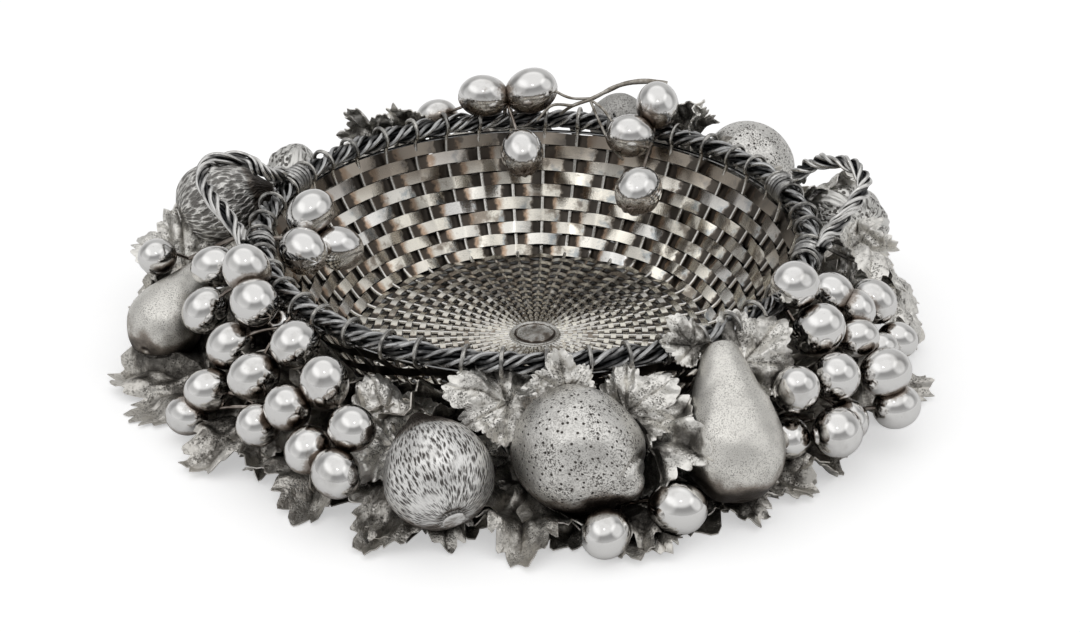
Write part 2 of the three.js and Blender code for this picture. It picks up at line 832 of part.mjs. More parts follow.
// Windings at the ends of the handles: angle midway between two stakes, and the count of loops
const stakesAt = (angle) => shareOfTurn(Math.floor(angle / shareOfTurn(1, stakeCount)) + 0.5, stakeCount);
const lashings = {
  handle_left_lashing_front: { angle: 188.5, loops: 3 },
  handle_left_lashing_back: { angle: 156.5, loops: 5 },
  handle_right_lashing_front: { angle: 346.5, loops: 3 },
  handle_right_lashing_back: { angle: 20, loops: 5 },
};
Object.entries(lashings).forEach(([name, { angle, loops }]) => {
  const line = lashLine(stakesAt(angle), loops);
  console.log(`${name}: least gap to itself ${leastGap(line).toFixed(2)} mm`);
  show(name, wireSilver, welded(wireSkin(line, lashWire, lashSides)));
  keepClearOf(solidOf(wireSkin(line, lashWire + 2 * clearance, lashSides)));
});

seat('handle_left', wireSilver, (grow) => solidOf(handle(leftHandleShares, grow)));
seat('handle_right', wireSilver, (grow) => solidOf(handle(rightHandleShares, grow)));

const fruitFinish = new Map([
  [lemonShares, pittedSilver],
  [figShares, chasedSilver],
  [pearShares, satinSilver],
  [nutShares, chasedSilver],
]);
Object.entries(fruitShares).forEach(([name, share]) => {
  seat(name, fruitFinish.get(share.outline), (grow) => fruit(name, share, grow));
});
Object.entries(sprigShares).forEach(([name, share]) => {
  seat(name, grapeSilver, (grow) => sprig(share, grow));
});
Object.entries(leafPlaceShares).forEach(([name, share]) => {
  seat(name, leafSilver, (grow) => leaf(share, grow));
});

export default basket;
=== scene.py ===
"""Centrepiece basket of woven silver strip, with a rope rim and a garland of fruit, grapes and vine leaves."""

import logging
import math
from collections.abc import Callable, Iterable
from dataclasses import dataclass, field
from enum import Enum

import bmesh
import bpy
import numpy as np
from mathutils import Euler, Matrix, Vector


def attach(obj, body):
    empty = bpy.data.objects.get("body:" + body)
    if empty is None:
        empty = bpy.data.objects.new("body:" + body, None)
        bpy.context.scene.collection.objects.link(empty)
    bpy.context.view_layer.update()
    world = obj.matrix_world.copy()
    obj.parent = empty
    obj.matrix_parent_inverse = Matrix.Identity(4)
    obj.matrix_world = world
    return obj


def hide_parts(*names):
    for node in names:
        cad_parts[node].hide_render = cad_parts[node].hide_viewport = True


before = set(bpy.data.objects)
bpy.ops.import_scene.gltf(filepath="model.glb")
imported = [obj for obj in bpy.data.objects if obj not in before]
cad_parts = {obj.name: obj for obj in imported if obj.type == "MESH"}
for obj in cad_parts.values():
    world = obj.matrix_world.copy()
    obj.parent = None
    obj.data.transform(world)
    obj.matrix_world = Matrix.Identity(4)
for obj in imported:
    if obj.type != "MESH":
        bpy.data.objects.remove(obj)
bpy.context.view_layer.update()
log = logging.getLogger("basket")

MM = 0.001
BODY = "root"
TURN = 2 * math.pi

RIM_RADIUS = 143 * MM
RIM_HEIGHT = 67 * MM
ROPE_RADIUS = 5.5 * MM
FOOT_RADIUS = 106 * MM
FOOT_HEIGHT = 2.5 * MM
TABLE_GAP = 0.4 * MM
STAKES = 45
# How fast patina and painted shade fade with the gap to another body.
PATINA_AND_SHADE_FADE = 4.5 * MM

Colour = tuple[float, float, float]
Share = tuple[float, ...]


class Slot(str, Enum):
    """Material slots of the record."""

    STRIP = "silver_strip"
    WIRE = "silver_wire"
    GRAPE = "silver_grape"
    SATIN = "silver_satin"
    PITTED = "silver_pitted"
    CHASED = "silver_chased"
    LEAF = "silver_leaf"


class Carrier(Enum):
    """What a stalk of the garland is fixed to."""

    RIM = "rim"
    FOOT = "foot"


# Places


def around(angle: float, radius: float, height: float) -> np.ndarray:
    """Returns the point at an angle in degrees round the basket, a radius and a height."""
    turn = math.radians(angle)
    return np.array([radius * math.cos(turn), radius * math.sin(turn), height])


def garland_place(share: Share) -> np.ndarray:
    """Returns the point given as an angle and as shares of the rim's radius and height."""
    return around(share[0], share[1] * RIM_RADIUS, share[2] * RIM_HEIGHT)


def carrier_place(carrier: Carrier, place: np.ndarray) -> np.ndarray:
    """Returns the point of the rope or of the foot hoop that lies nearest to a place."""
    angle = math.degrees(math.atan2(place[1], place[0]))
    if carrier is Carrier.RIM:
        return around(angle, RIM_RADIUS, RIM_HEIGHT)
    return around(angle, FOOT_RADIUS, FOOT_HEIGHT)


def unit(vector: np.ndarray) -> np.ndarray:
    """Returns a vector, or each row of an array of vectors, at length one."""
    return vector / np.maximum(np.linalg.norm(vector, axis=-1, keepdims=True), 1e-12)


def frame_of(axis: np.ndarray) -> tuple[np.ndarray, np.ndarray, np.ndarray]:
    """Returns two directions across an axis, and the axis."""
    axis = unit(axis)
    hint = np.array([0.0, 0.0, 1.0]) if abs(axis[2]) < 0.9 else np.array([1.0, 0.0, 0.0])
    across = unit(np.cross(hint, axis))
    return across, np.cross(axis, across), axis


def smooth_line(points: Iterable, count: int, mirrored: bool = False) -> np.ndarray:
    """Draws a smooth line through points.

    Args:
        points: The points it passes.
        count: How many points the line gets.
        mirrored: Whether the line is half an outline that starts and ends on its axis.

    Returns:
        The line's points, one a row.
    """
    points = np.asarray(points, float)
    first = 2 * points[0] - points[1]
    last = 2 * points[-1] - points[-2]
    if mirrored:
        first = points[1] * (-1, 1)
        last = points[-2] * (-1, 1)
    padded = np.vstack([first, points, last])
    spans = len(points) - 1
    travelled = np.linspace(0, spans, count)
    index = np.minimum(travelled.astype(int), spans - 1)
    part = (travelled - index)[:, None]
    before, here, after, beyond = (padded[index + step] for step in range(4))
    straight = after - before
    bend = 2 * before - 5 * here + 4 * after - beyond
    twist = 3 * here - before - 3 * after + beyond
    return here + (straight * part + bend * part**2 + twist * part**3) / 2


def ripples(points: np.ndarray, wavelength: float, seed: int, waves: int = 9) -> np.ndarray:
    """Sums waves in random directions into a smooth unevenness.

    Args:
        points: Where it is wanted.
        wavelength: The length of the waves.
        seed: Seed of the directions and phases.
        waves: How many waves there are.

    Returns:
        A value from about -1 to 1 for each point.
    """
    chance = np.random.default_rng(seed)
    directions = unit(chance.normal(size=(waves, 3))) * TURN / wavelength
    directions *= chance.uniform(0.6, 1.5, size=(waves, 1))
    phases = chance.uniform(0, TURN, size=waves)
    return np.sin(points @ directions.T + phases).sum(axis=1) / math.sqrt(waves)


# Skins


@dataclass
class Skin:
    """Points, faces and point values of one mesh."""

    points: np.ndarray
    faces: list[tuple[int, ...]]
    values: dict[str, np.ndarray] = field(default_factory=dict)

    @staticmethod
    def joined(skins: list["Skin"]) -> "Skin":
        """Returns one skin of several, each with the same names of values."""
        faces = []
        start = 0
        for skin in skins:
            faces.extend(tuple(start + corner for corner in face) for face in skin.faces)
            start += len(skin.points)
        points = np.vstack([skin.points for skin in skins])
        names = skins[0].values
        values = {name: np.concatenate([skin.values[name] for skin in skins]) for name in names}
        return Skin(points, faces, values)

    def set_value(self, name: str, value: float) -> "Skin":
        """Gives every point the same value and returns the skin."""
        self.values[name] = np.full(len(self.points), value)
        return self


def grid_faces(rows: int, columns: int, round_columns: bool = False) -> list[tuple[int, ...]]:
    """Returns the quads of a grid whose columns may close into a ring."""
    faces = []
    for row in range(rows - 1):
        for column in range(columns if round_columns else columns - 1):
            after = (column + 1) % columns
            here = row * columns
            faces.append((here + column, here + after, here + columns + after, here + columns + column))
    return faces


def tube(line: np.ndarray, radius: float | np.ndarray, sides: int = 8) -> Skin:
    """Lays a round wire along a line.

    Args:
        line: Points of its middle.
        radius: Its radius, or one radius for each point.
        sides: How many sides it has.

    Returns:
        A closed skin with a rubbed value of 1: clear of oxide and of painted shade.
    """
    heading = unit(np.gradient(line, axis=0))
    across = np.empty_like(line)
    across[0] = frame_of(heading[0])[0]
    for index in range(1, len(line)):
        carried = across[index - 1] - across[index - 1].dot(heading[index]) * heading[index]
        across[index] = unit(carried)
    up = np.cross(heading, across)
    turns = np.arange(sides) * TURN / sides
    reach = np.broadcast_to(np.asarray(radius, float).reshape(-1, 1, 1), (len(line), 1, 1))
    circle = across[:, None] * np.cos(turns)[:, None] + up[:, None] * np.sin(turns)[:, None]
    points = (line[:, None] + circle * reach).reshape(-1, 3)
    faces = grid_faces(len(line), sides, round_columns=True)
    last = (len(line) - 1) * sides
    faces.append(tuple(reversed(range(sides))))
    faces.append(tuple(last + side for side in range(sides)))
    return Skin(points, faces).set_value("rubbed", 1)


def turned_skin(outline: np.ndarray, axis: np.ndarray, middle: np.ndarray, columns: int) -> Skin:
    """Turns half an outline about an axis, with a point at each pole.

    Args:
        outline: Distances from the axis and along it.
        axis: The axis' direction.
        middle: Where the outline's zero lies.
        columns: How many points each turn has.

    Returns:
        A closed skin with values around and along that follow its surface, both in metres.
    """
    across, up, axis = frame_of(axis)
    turns = np.arange(columns) * TURN / columns
    ring = across * np.cos(turns)[:, None] + up * np.sin(turns)[:, None]
    body = outline[1:-1]
    points = ring[None] * body[:, 0, None, None] + axis * body[:, 1, None, None]
    poles = np.array([axis * outline[0, 1], axis * outline[-1, 1]])
    points = np.vstack([points.reshape(-1, 3), poles]) + middle
    faces = grid_faces(len(body), columns, round_columns=True)
    last = (len(body) - 1) * columns
    pole = len(body) * columns
    faces.extend((pole, (side + 1) % columns, side) for side in range(columns))
    faces.extend((pole + 1, last + side, last + (side + 1) % columns) for side in range(columns))
    widest = outline[:, 0].max()
    folded = np.abs(turns - math.pi) * widest
    travelled = np.concatenate([[0], np.cumsum(np.linalg.norm(np.diff(outline, axis=0), axis=1))])
    around_values = np.concatenate([np.tile(folded, len(body)), [0, 0]])
    along_values = np.concatenate([np.repeat(travelled[1:-1], columns), travelled[[0, -1]]])
    return Skin(points, faces, {"around": around_values, "along": along_values})


def normals_of(points: np.ndarray, faces: list[tuple[int, ...]]) -> np.ndarray:
    """Returns the average direction of the faces at each point."""
    corners = np.array([(face[0], face[1], face[2], face[-1]) for face in faces])
    span = points[corners[:, 2]] - points[corners[:, 0]]
    other = points[corners[:, 3]] - points[corners[:, 1]]
    crossed = np.cross(span, other)
    total = np.zeros_like(points)
    for column in range(4):
        np.add.at(total, corners[:, column], crossed)
    return unit(total)


@dataclass
class Neighbours:
    """Round bodies of the garland, near which patina and painted shade darken the finish and past which leaves bend."""

    centres: list[np.ndarray] = field(default_factory=list)
    radii: list[float] = field(default_factory=list)
    owners: list[str] = field(default_factory=list)

    def add(self, owner: str, centre: np.ndarray, radius: float) -> None:
        """Adds one ball of a piece."""
        self.centres.append(centre)
        self.radii.append(radius)
        self.owners.append(owner)

    def shelter(self, points: np.ndarray, owner: str) -> np.ndarray:
        """Tells how near each point lies to other bodies, which sets patina and painted shade there.

        Args:
            points: Points of a piece.
            owner: The piece's own name, whose balls don't count.

        Returns:
            1 at the touch of another body, falling to 0 in the open.
        """
        found = np.zeros(len(points))
        for centre, radius, name in zip(self.centres, self.radii, self.owners, strict=True):
            if name != owner:
                gap = np.maximum(np.linalg.norm(points - centre, axis=1) - radius, 0)
                found = np.maximum(found, np.exp(-gap / PATINA_AND_SHADE_FADE))
        # The rope adds patina and painted shade to what lies close to it.
        across = np.hypot(points[:, 0], points[:, 1]) - RIM_RADIUS
        gap = np.maximum(np.hypot(across, points[:, 2] - RIM_HEIGHT) - ROPE_RADIUS, 0)
        return np.maximum(found, 0.8 * np.exp(-gap / PATINA_AND_SHADE_FADE))

    def pushed_out(self, points: np.ndarray, margin: float) -> np.ndarray:
        """Returns points moved out of every body and out of the rope."""
        points = points.copy()
        for centre, radius in zip(self.centres, self.radii, strict=True):
            offset = points - centre
            distance = np.linalg.norm(offset, axis=1, keepdims=True)
            inside = distance[:, 0] < radius + margin
            points[inside] = centre + unit(offset[inside]) * (radius + margin)
        return points


# Node trees


class Sock:
    """A socket's value, on which Python arithmetic adds Math nodes."""

    def __init__(self, graph: "Graph", socket: bpy.types.NodeSocket) -> None:
        """Wraps an output socket of a graph's tree."""
        self.graph = graph
        self.socket = socket

    def __add__(self, other: "Sock | float") -> "Sock":
        """Adds."""
        return self.graph.maths("ADD", self, other)

    def __sub__(self, other: "Sock | float") -> "Sock":
        """Subtracts."""
        return self.graph.maths("SUBTRACT", self, other)

    def __rsub__(self, other: float) -> "Sock":
        """Subtracts from a number."""
        return self.graph.maths("SUBTRACT", other, self)

    def __mul__(self, other: "Sock | float") -> "Sock":
        """Multiplies."""
        return self.graph.maths("MULTIPLY", self, other)

    def __truediv__(self, other: "Sock | float") -> "Sock":
        """Divides."""
        return self.graph.maths("DIVIDE", self, other)

    def __rtruediv__(self, other: float) -> "Sock":
        """Divides a number."""
        return self.graph.maths("DIVIDE", other, self)

    __radd__ = __add__
    __rmul__ = __mul__


class Graph:
    """A node tree that is built in a few words."""

    def __init__(self, tree: bpy.types.NodeTree) -> None:
        """Keeps the tree that it builds in."""
        self.tree = tree

    @staticmethod
    def pick(sockets: Iterable, key: str | int) -> bpy.types.NodeSocket:
        """Returns the socket in use with a name or number."""
        used = [socket for socket in sockets if socket.enabled]
        return used[key] if isinstance(key, int) else next(socket for socket in used if socket.name == key)

    def node(self, kind: str, settings: dict, sockets: dict, output: str | int = 0) -> Sock:
        """Adds a node.

        Args:
            kind: The node's type.
            settings: Its settings, with a ramp's stops as places and colours.
            sockets: Values or links of its inputs, by name or number.
            output: The output that is wanted.

        Returns:
            That output.
        """
        node = self.tree.nodes.new(kind)
        for name, value in settings.items():
            if name == "stops":
                while len(node.color_ramp.elements) < len(value):
                    node.color_ramp.elements.new(0.5)
                for element, (place, colour) in zip(node.color_ramp.elements, value, strict=True):
                    element.position = place
                    element.color = (*colour, 1)
            else:
                setattr(node, name, value)
        for key, value in sockets.items():
            target = self.pick(node.inputs, key)
            if isinstance(value, Sock):
                self.tree.links.new(value.socket, target)
            else:
                target.default_value = value
        outputs = [socket for socket in node.outputs if socket.enabled]
        return Sock(self, self.pick(node.outputs, output) if outputs else None)

    def maths(self, operation: str, *values: Sock | float) -> Sock:
        """Adds a Math node with an operation."""
        return self.node("ShaderNodeMath", {"operation": operation}, dict(enumerate(values)))

    def step(self, value: Sock, low: float, high: float) -> Sock:
        """Returns a smooth step from 0 at low to 1 at high."""
        settings = {"interpolation_type": "SMOOTHSTEP"}
        return self.node("ShaderNodeMapRange", settings, {0: value, 1: low, 2: high, 3: 0.0, 4: 1.0})

    def mix(self, factor: Sock | float, first: Sock | Colour, second: Sock | Colour) -> Sock:
        """Returns a colour between two."""
        first, second = (value if isinstance(value, Sock) else (*value, 1) for value in (first, second))
        return self.node("ShaderNodeMix", {"data_type": "RGBA"}, {0: factor, "A": first, "B": second})

    def value(self, name: str) -> Sock:
        """Returns a point value of the piece."""
        return self.node("ShaderNodeAttribute", {"attribute_name": name}, {}, "Fac")

    def vector(self, *parts: Sock | float) -> Sock:
        """Returns a vector of three parts."""
        return self.node("ShaderNodeCombineXYZ", {}, dict(enumerate(parts)))

    def place(self) -> Sock:
        """Returns the place on the object."""
        return self.node("ShaderNodeTexCoord", {}, {}, "Object")

    def noise(self, where: Sock, size: float, detail: float = 3.0, roughness: float = 0.55) -> Sock:
        """Returns cloudy noise whose spots have a size in metres."""
        sockets = {"Vector": where, "Scale": 1 / size, "Detail": detail, "Roughness": roughness}
        return self.node("ShaderNodeTexNoise", {}, sockets)

    def cells(self, where: Sock, size: float, feature: str = "F1") -> Sock:
        """Returns the distance to the middle or edge of cells that have a size in metres."""
        sockets = {"Vector": where, "Scale": 1 / size}
        return self.node("ShaderNodeTexVoronoi", {"feature": feature}, sockets, "Distance")

    def flat_cells(self, width: float, length: float, wander: Sock | float = 0.0, chance: float = 1.0) -> Sock:
        """Returns the distance to the middle of cells that are laid along a turned piece's surface.

        Args:
            width: Their size around the axis in metres.
            length: Their size along it.
            wander: How far they are shifted around, in cells.
            chance: How uneven they lie, from 0 to 1.

        Returns:
            The distance in cells.
        """
        where = self.vector(self.value("around") / width + wander, self.value("along") / length, 0.0)
        sockets = {"Vector": where, "Scale": 1.0, "Randomness": chance}
        return self.node("ShaderNodeTexVoronoi", {"voronoi_dimensions": "2D"}, sockets, "Distance")


# Finishes


@dataclass(frozen=True)
class Silver:
    """Silver darkened by oxide and by painted shade from the piece's shade value, the ground of every finish."""

    name: str
    slot: Slot
    bright: Colour = (0.78, 0.765, 0.735)
    dull: Colour = (0.42, 0.4, 0.375)
    # The colour that oxide and painted shade darken the metal to.
    tarnish: Colour = (0.045, 0.036, 0.03)
    warm: Colour = (0.3, 0.215, 0.15)
    polish: float = 0.16
    bloom: float = 0.42
    cloud: float = 9 * MM
    relief: float = 0.12 * MM

    def cover(self, graph: Graph, place: Sock) -> Sock:
        """Returns how far oxide and painted shade cover the surface, from 0 to 1."""
        cloud = graph.noise(place, self.cloud, detail=5.0, roughness=0.65)
        return graph.step(graph.value("shelter") + (cloud - 0.5) * 0.9, 0.22, 0.85)

    def marks(self, graph: Graph, place: Sock) -> tuple[Sock, Sock]:
        """Returns how dark the tool's marks are, and the surface's height as a share of the relief."""
        fine = graph.noise(place, 0.9 * MM, detail=2.0)
        return graph.step(fine, 0.62, 0.8) * 0.25, fine

    def tint(self, graph: Graph, place: Sock, colour: Sock) -> Sock:
        """Returns the clean metal's colour, with thin warm and dull clouds."""
        cloud = graph.step(graph.noise(place, 14 * MM, detail=4.0), 0.5, 0.72)
        return graph.mix(cloud * 0.35, colour, self.dull)

    def material(self) -> bpy.types.Material:
        """Builds the finish as a material and returns it."""
        made = bpy.data.materials.new(self.name)
        made.use_nodes = True
        made.node_tree.nodes.clear()
        graph = Graph(made.node_tree)
        place = graph.place()
        cover = self.cover(graph, place)
        marks, height = self.marks(graph, place)
        colour = self.tint(graph, place, graph.mix(0.0, self.bright, self.bright))
        rim = graph.step(cover, 0.05, 0.45)
        colour = graph.mix(rim * 0.6, colour, self.warm)
        # Oxide and painted shade darken the colour where the shade value is high.
        colour = graph.mix(cover, colour, self.tarnish)
        colour = graph.mix(marks, colour, self.tarnish)
        rough = cover * (self.bloom - self.polish) + marks * 0.2 + self.polish
        bump = graph.node("ShaderNodeBump", {}, {"Strength": 1.0, "Distance": self.relief, "Height": height})
        shader = graph.node(
            "ShaderNodeBsdfPrincipled",
            {},
            {"Base Color": colour, "Metallic": 1.0, "Roughness": rough, "Normal": bump},
        )
        graph.node("ShaderNodeOutputMaterial", {}, {"Surface": shader})
        return made


@dataclass(frozen=True)
class GrapeSilver(Silver):
    """Mirror-polished silver with a brown bloom and painted shade on its lower and hidden sides, with some chased feet.
    """

    def cover(self, graph: Graph, place: Sock) -> Sock:
        """Returns mottled oxide and painted shade that creep up from the lower and hidden sides."""
        cloud = graph.noise(place, self.cloud, detail=6.0, roughness=0.68)
        fine = graph.noise(place, 2.2 * MM, detail=3.0, roughness=0.7)
        reach = graph.value("shelter") + (cloud - 0.5) * 1.0 + (fine - 0.5) * 0.2
        return graph.step(reach, 0.26, 0.8)

    def marks(self, graph: Graph, place: Sock) -> tuple[Sock, Sock]:
        """Returns faint spots and the pits of chased feet, and the surface that they are sunk into."""
        spots = graph.step(graph.noise(place, 1.6 * MM, detail=4.0), 0.66, 0.78) * 0.22
        pits = (1 - graph.step(graph.cells(place, 1.5 * MM), 0.2, 0.5)) * graph.value("chased")
        return graph.maths("MAXIMUM", spots, pits * 0.7), graph.noise(place, 9 * MM, detail=1.0) * 0.3 - pits


@dataclass(frozen=True)
class PoreSilver(Silver):
    """Satin silver with scattered deep pores and a fine grain between them."""

    pore: float = 5.2 * MM
    pore_size: float = 0.15
    grain: float = 0.9 * MM

    def marks(self, graph: Graph, place: Sock) -> tuple[Sock, Sock]:
        """Returns dark pores and grain, and the surface that they are sunk into."""
        nearest = graph.flat_cells(self.pore, self.pore, chance=0.8)
        pores = 1 - graph.step(nearest, self.pore_size * 0.6, self.pore_size)
        patches = graph.step(graph.noise(place, 11 * MM, detail=4.0), 0.35, 0.65)
        grain = graph.step(graph.noise(place, self.grain, detail=2.0, roughness=0.8), 0.46, 0.64)
        specks = grain * (patches * 0.75 + 0.2)
        dents = graph.noise(place, 7 * MM, detail=2.0)
        return graph.maths("MAXIMUM", pores * 0.95, specks), dents * 1.6 - pores - grain * 0.2


@dataclass(frozen=True)
class StippleSilver(Silver):
    """Satin silver with a fine even stipple."""

    grain: float = 0.85 * MM
    speck: float = 0.24
    dent_share: float = 6.0

    def marks(self, graph: Graph, place: Sock) -> tuple[Sock, Sock]:
        """Returns small grey specks, and the stippled surface."""
        specks = graph.step(graph.noise(place, self.grain, detail=2.0, roughness=0.8), 0.49, 0.66)
        patches = graph.step(graph.noise(place, 15 * MM, detail=4.0), 0.3, 0.7)
        dents = graph.noise(place, 16 * MM, detail=1.0)
        return specks * (patches * 0.4 + self.speck), dents * self.dent_share - specks * 0.5


@dataclass(frozen=True)
class DashSilver(Silver):
    """Bright silver chased with dark strokes that run from pole to pole."""

    dash_length: float = 5.6 * MM
    dash_width: float = 1.7 * MM
    dash_size: float = 0.44
    strength: float = 0.92
    clear_from: float = 0.3
    clear_to: float = 0.46

    def marks(self, graph: Graph, place: Sock) -> tuple[Sock, Sock]:
        """Returns the dark strokes, and the surface cut by them."""
        wander = (graph.noise(place, 7 * MM) - 0.5) * 2
        nearest = graph.flat_cells(self.dash_width, self.dash_length, wander)
        fine = graph.flat_cells(self.dash_width * 0.55, self.dash_length * 0.7, wander * 1.5 + 0.5)
        strokes = 1 - graph.step(nearest, self.dash_size * 0.4, self.dash_size)
        strokes = graph.maths("MAXIMUM", strokes, (1 - graph.step(fine, 0.1, 0.42)) * 0.6)
        breaks = graph.step(graph.noise(place, 11 * MM, detail=4.0), self.clear_from, self.clear_to)
        deep = graph.step(graph.value("shelter"), 0.1, 0.5)
        cut = strokes * graph.maths("MAXIMUM", breaks * 0.8 + 0.2, deep) * (1 - graph.value("panel"))
        cut = graph.maths("MAXIMUM", cut * self.strength, graph.value("ring"))
        grain = graph.step(graph.noise(place, 0.6 * MM), 0.56, 0.7)
        return graph.maths("MAXIMUM", cut, grain * 0.2), 1 - cut - grain * 0.15


@dataclass(frozen=True)
class ShellSilver(Silver):
    """Chased silver with pitted panels between plain bands."""

    def marks(self, graph: Graph, place: Sock) -> tuple[Sock, Sock]:
        """Returns dark pits inside the panels, and the surface that they are sunk into."""
        panel = graph.value("panel")
        wander = (graph.noise(place, 8 * MM) - 0.5) * 1.6
        groove = 1 - graph.step(graph.flat_cells(2.1 * MM, 11 * MM, wander), 0.14, 0.34)
        size = graph.noise(place, 6 * MM) * 0.5 + 0.12
        pits = 1 - graph.step(graph.cells(place, 2.7 * MM) - size, -0.12, 0.06)
        rough = graph.maths("MAXIMUM", groove * 0.8, pits) * panel
        return rough * 0.85, 1 - rough


@dataclass(frozen=True)
class LeafSilver(Silver):
    """Oxidised sheet with chased veins, a stippled surface and rubbed edges."""

    warm: Colour = (0.31, 0.285, 0.25)
    tarnish: Colour = (0.05, 0.046, 0.041)
    # Extra painted shade over the whole leaf, for the darker copies of this finish.
    depth: float = 0.0

    def cover(self, graph: Graph, place: Sock) -> Sock:
        """Returns oxide that fills hollows and veins, and painted shade from the shade value and the finish's depth,
        leaving edges and ridges clear.
        """
        cloud = graph.noise(place, self.cloud, detail=6.0, roughness=0.7)
        depth = graph.value("shelter") * 0.82 + graph.value("vein") * 0.22 - graph.value("edge") * 0.6
        return graph.step(depth + (cloud - 0.5) * 2.1 + self.depth, 0.0, 0.85) * 0.86

    def marks(self, graph: Graph, place: Sock) -> tuple[Sock, Sock]:
        """Returns dark specks in patches, and a crinkled surface."""
        crinkle = graph.noise(place, 5.5 * MM, detail=5.0, roughness=0.6)
        patches = graph.step(graph.noise(place, 8 * MM, detail=3.0), 0.36, 0.6)
        specks = 1 - graph.step(graph.cells(place, 1.2 * MM), 0.2, 0.42)
        rough = graph.step(graph.noise(place, 1.6 * MM, detail=4.0, roughness=0.75), 0.52, 0.66)
        specks = graph.maths("MAXIMUM", specks, rough) * patches
        clear = 1 - graph.value("edge") * 0.85
        return specks * 0.8 * clear, crinkle - specks * 0.25


@dataclass(frozen=True)
class StripSilver(Silver):
    """Polished strip with copper and blue heat tints towards the ends of each visible length."""

    blue: Colour = (0.4, 0.45, 0.48)
    ivory: Colour = (0.95, 0.905, 0.8)
    copper: Colour = (0.42, 0.27, 0.17)
    tarnish: Colour = (0.06, 0.052, 0.045)
    shown: float = 0.64
    heat: float = 1.0
    dark_from: float = 34 * MM
    dark_to: float = 60 * MM

    def lengths(self, graph: Graph) -> tuple[Sock, Sock]:
        """Returns the place along one visible length from -1 to 1, and a chance number of that length."""
        half = (graph.value("crossing") + 1) * 0.5
        number = graph.maths("FLOOR", half)
        chance = graph.node("ShaderNodeTexWhiteNoise", {"noise_dimensions": "1D"}, {"W": number})
        return (half - number - 0.5) * (2 / self.shown), chance

    def cover(self, graph: Graph, place: Sock) -> Sock:
        """Returns painted shade where each visible length dips behind the stakes and on the wall's outer side,
        darkening towards the rim, and oxide in clouds.
        """
        along, chance = self.lengths(graph)
        ragged = along + (graph.noise(place, 3 * MM) - 0.5) * 0.5
        # Painted shade at both ends of each visible length, where the strip dips behind a stake.
        ends = graph.step(graph.maths("ABSOLUTE", ragged), 0.85, 1.08)
        cloud = graph.step(graph.noise(place, 9 * MM, detail=5.0) + chance * 0.2, 0.6, 0.84)
        high = graph.step(graph.node("ShaderNodeSeparateXYZ", {}, {0: place}, "Z"), self.dark_from, self.dark_to)
        # Painted shade on the outer side of the wall.
        behind = 1 - graph.value("inner")
        covered = graph.maths("MAXIMUM", ends * 0.95, cloud * (0.45 + high * 0.4))
        return graph.maths("MAXIMUM", graph.maths("MAXIMUM", covered, behind * 0.95), high * (chance * 0.55 + 0.25))

    def tint(self, graph: Graph, place: Sock, colour: Sock) -> Sock:
        """Returns ivory, grey or bluish metal, with copper at one end of each visible length."""
        along, chance = self.lengths(graph)
        colour = graph.mix(graph.step(chance, 0.05, 0.4), colour, self.ivory)
        cloud = graph.noise(place, 7 * MM)
        blue = graph.step(cloud - along * 0.15, 0.56, 0.8)
        colour = graph.mix(blue * (0.8 * self.heat), colour, self.blue)
        half = graph.step(along, -0.08, 0.08) * graph.step(chance, 0.3, 0.7)
        colour = graph.mix(half * 0.45, colour, self.dull)
        hot = graph.step(along + (cloud - 0.5) * 0.8, 0.6, 0.95)
        return graph.mix(hot * (0.85 * self.heat), colour, self.copper)


@dataclass(frozen=True)
class WireSilver(Silver):
    """Oxidised wire, pale where it is rubbed, with painted shade that turns nearly black between the strands."""

    dull: Colour = (0.3, 0.305, 0.31)
    warm: Colour = (0.22, 0.215, 0.21)
    tarnish: Colour = (0.024, 0.025, 0.027)
    clear_from: float = 0.46
    clear_to: float = 0.98

    def cover(self, graph: Graph, place: Sock) -> Sock:
        """Returns oxide that clears where the wire is rubbed and outside the painted shade between strands."""
        cloud = graph.noise(place, self.cloud, detail=4.0, roughness=0.65)
        return 1 - graph.step(graph.value("rubbed") + (cloud - 0.5) * 0.6, self.clear_from, self.clear_to)

    def marks(self, graph: Graph, place: Sock) -> tuple[Sock, Sock]:
        """Returns fine dark drawing lines, and an uneven surface."""
        fine = graph.noise(place, 1.3 * MM, detail=3.0, roughness=0.6)
        return graph.step(fine, 0.58, 0.75) * 0.3, fine


STRIP = StripSilver("polished_strip", Slot.STRIP, polish=0.17, bloom=0.36, relief=0.05 * MM)
# A darker copy of the strip's finish, as painted shade on the floor inside the basket.
FLOOR_STRIP = StripSilver(
    "polished_floor", Slot.STRIP, bright=(0.6, 0.58, 0.54), ivory=(0.74, 0.71, 0.63), polish=0.2, bloom=0.36,
    relief=0.05 * MM, shown=0.52, heat=0.15
)
WIRE = WireSilver("oxidised_wire", Slot.WIRE, bright=(0.5, 0.5, 0.5), polish=0.25, cloud=6 * MM)
HANDLE = WireSilver(
    "handle_wire", Slot.WIRE, bright=(0.74, 0.73, 0.71), polish=0.22, cloud=9 * MM, clear_from=0.38, clear_to=0.92
)
STAKE = WireSilver("rubbed_stakes", Slot.WIRE, bright=(0.74, 0.72, 0.68), polish=0.2, cloud=7 * MM)
GRAPE = GrapeSilver(
    "mirror_grapes", Slot.GRAPE, bright=(0.82, 0.81, 0.795), warm=(0.4, 0.33, 0.27), tarnish=(0.19, 0.155, 0.13),
    polish=0.1, bloom=0.24
)
LEMON = PoreSilver("pored_peel", Slot.PITTED, bright=(0.84, 0.825, 0.79), polish=0.33, bloom=0.46, relief=0.45 * MM)
PEAR = StippleSilver(
    "stippled_peel", Slot.SATIN, bright=(0.88, 0.86, 0.81), polish=0.32, bloom=0.44, cloud=18 * MM, grain=0.6 * MM, speck=0.3
)
FIG = DashSilver("dashed_peel", Slot.CHASED, bright=(0.93, 0.92, 0.9), polish=0.34, bloom=0.46, relief=0.25 * MM)
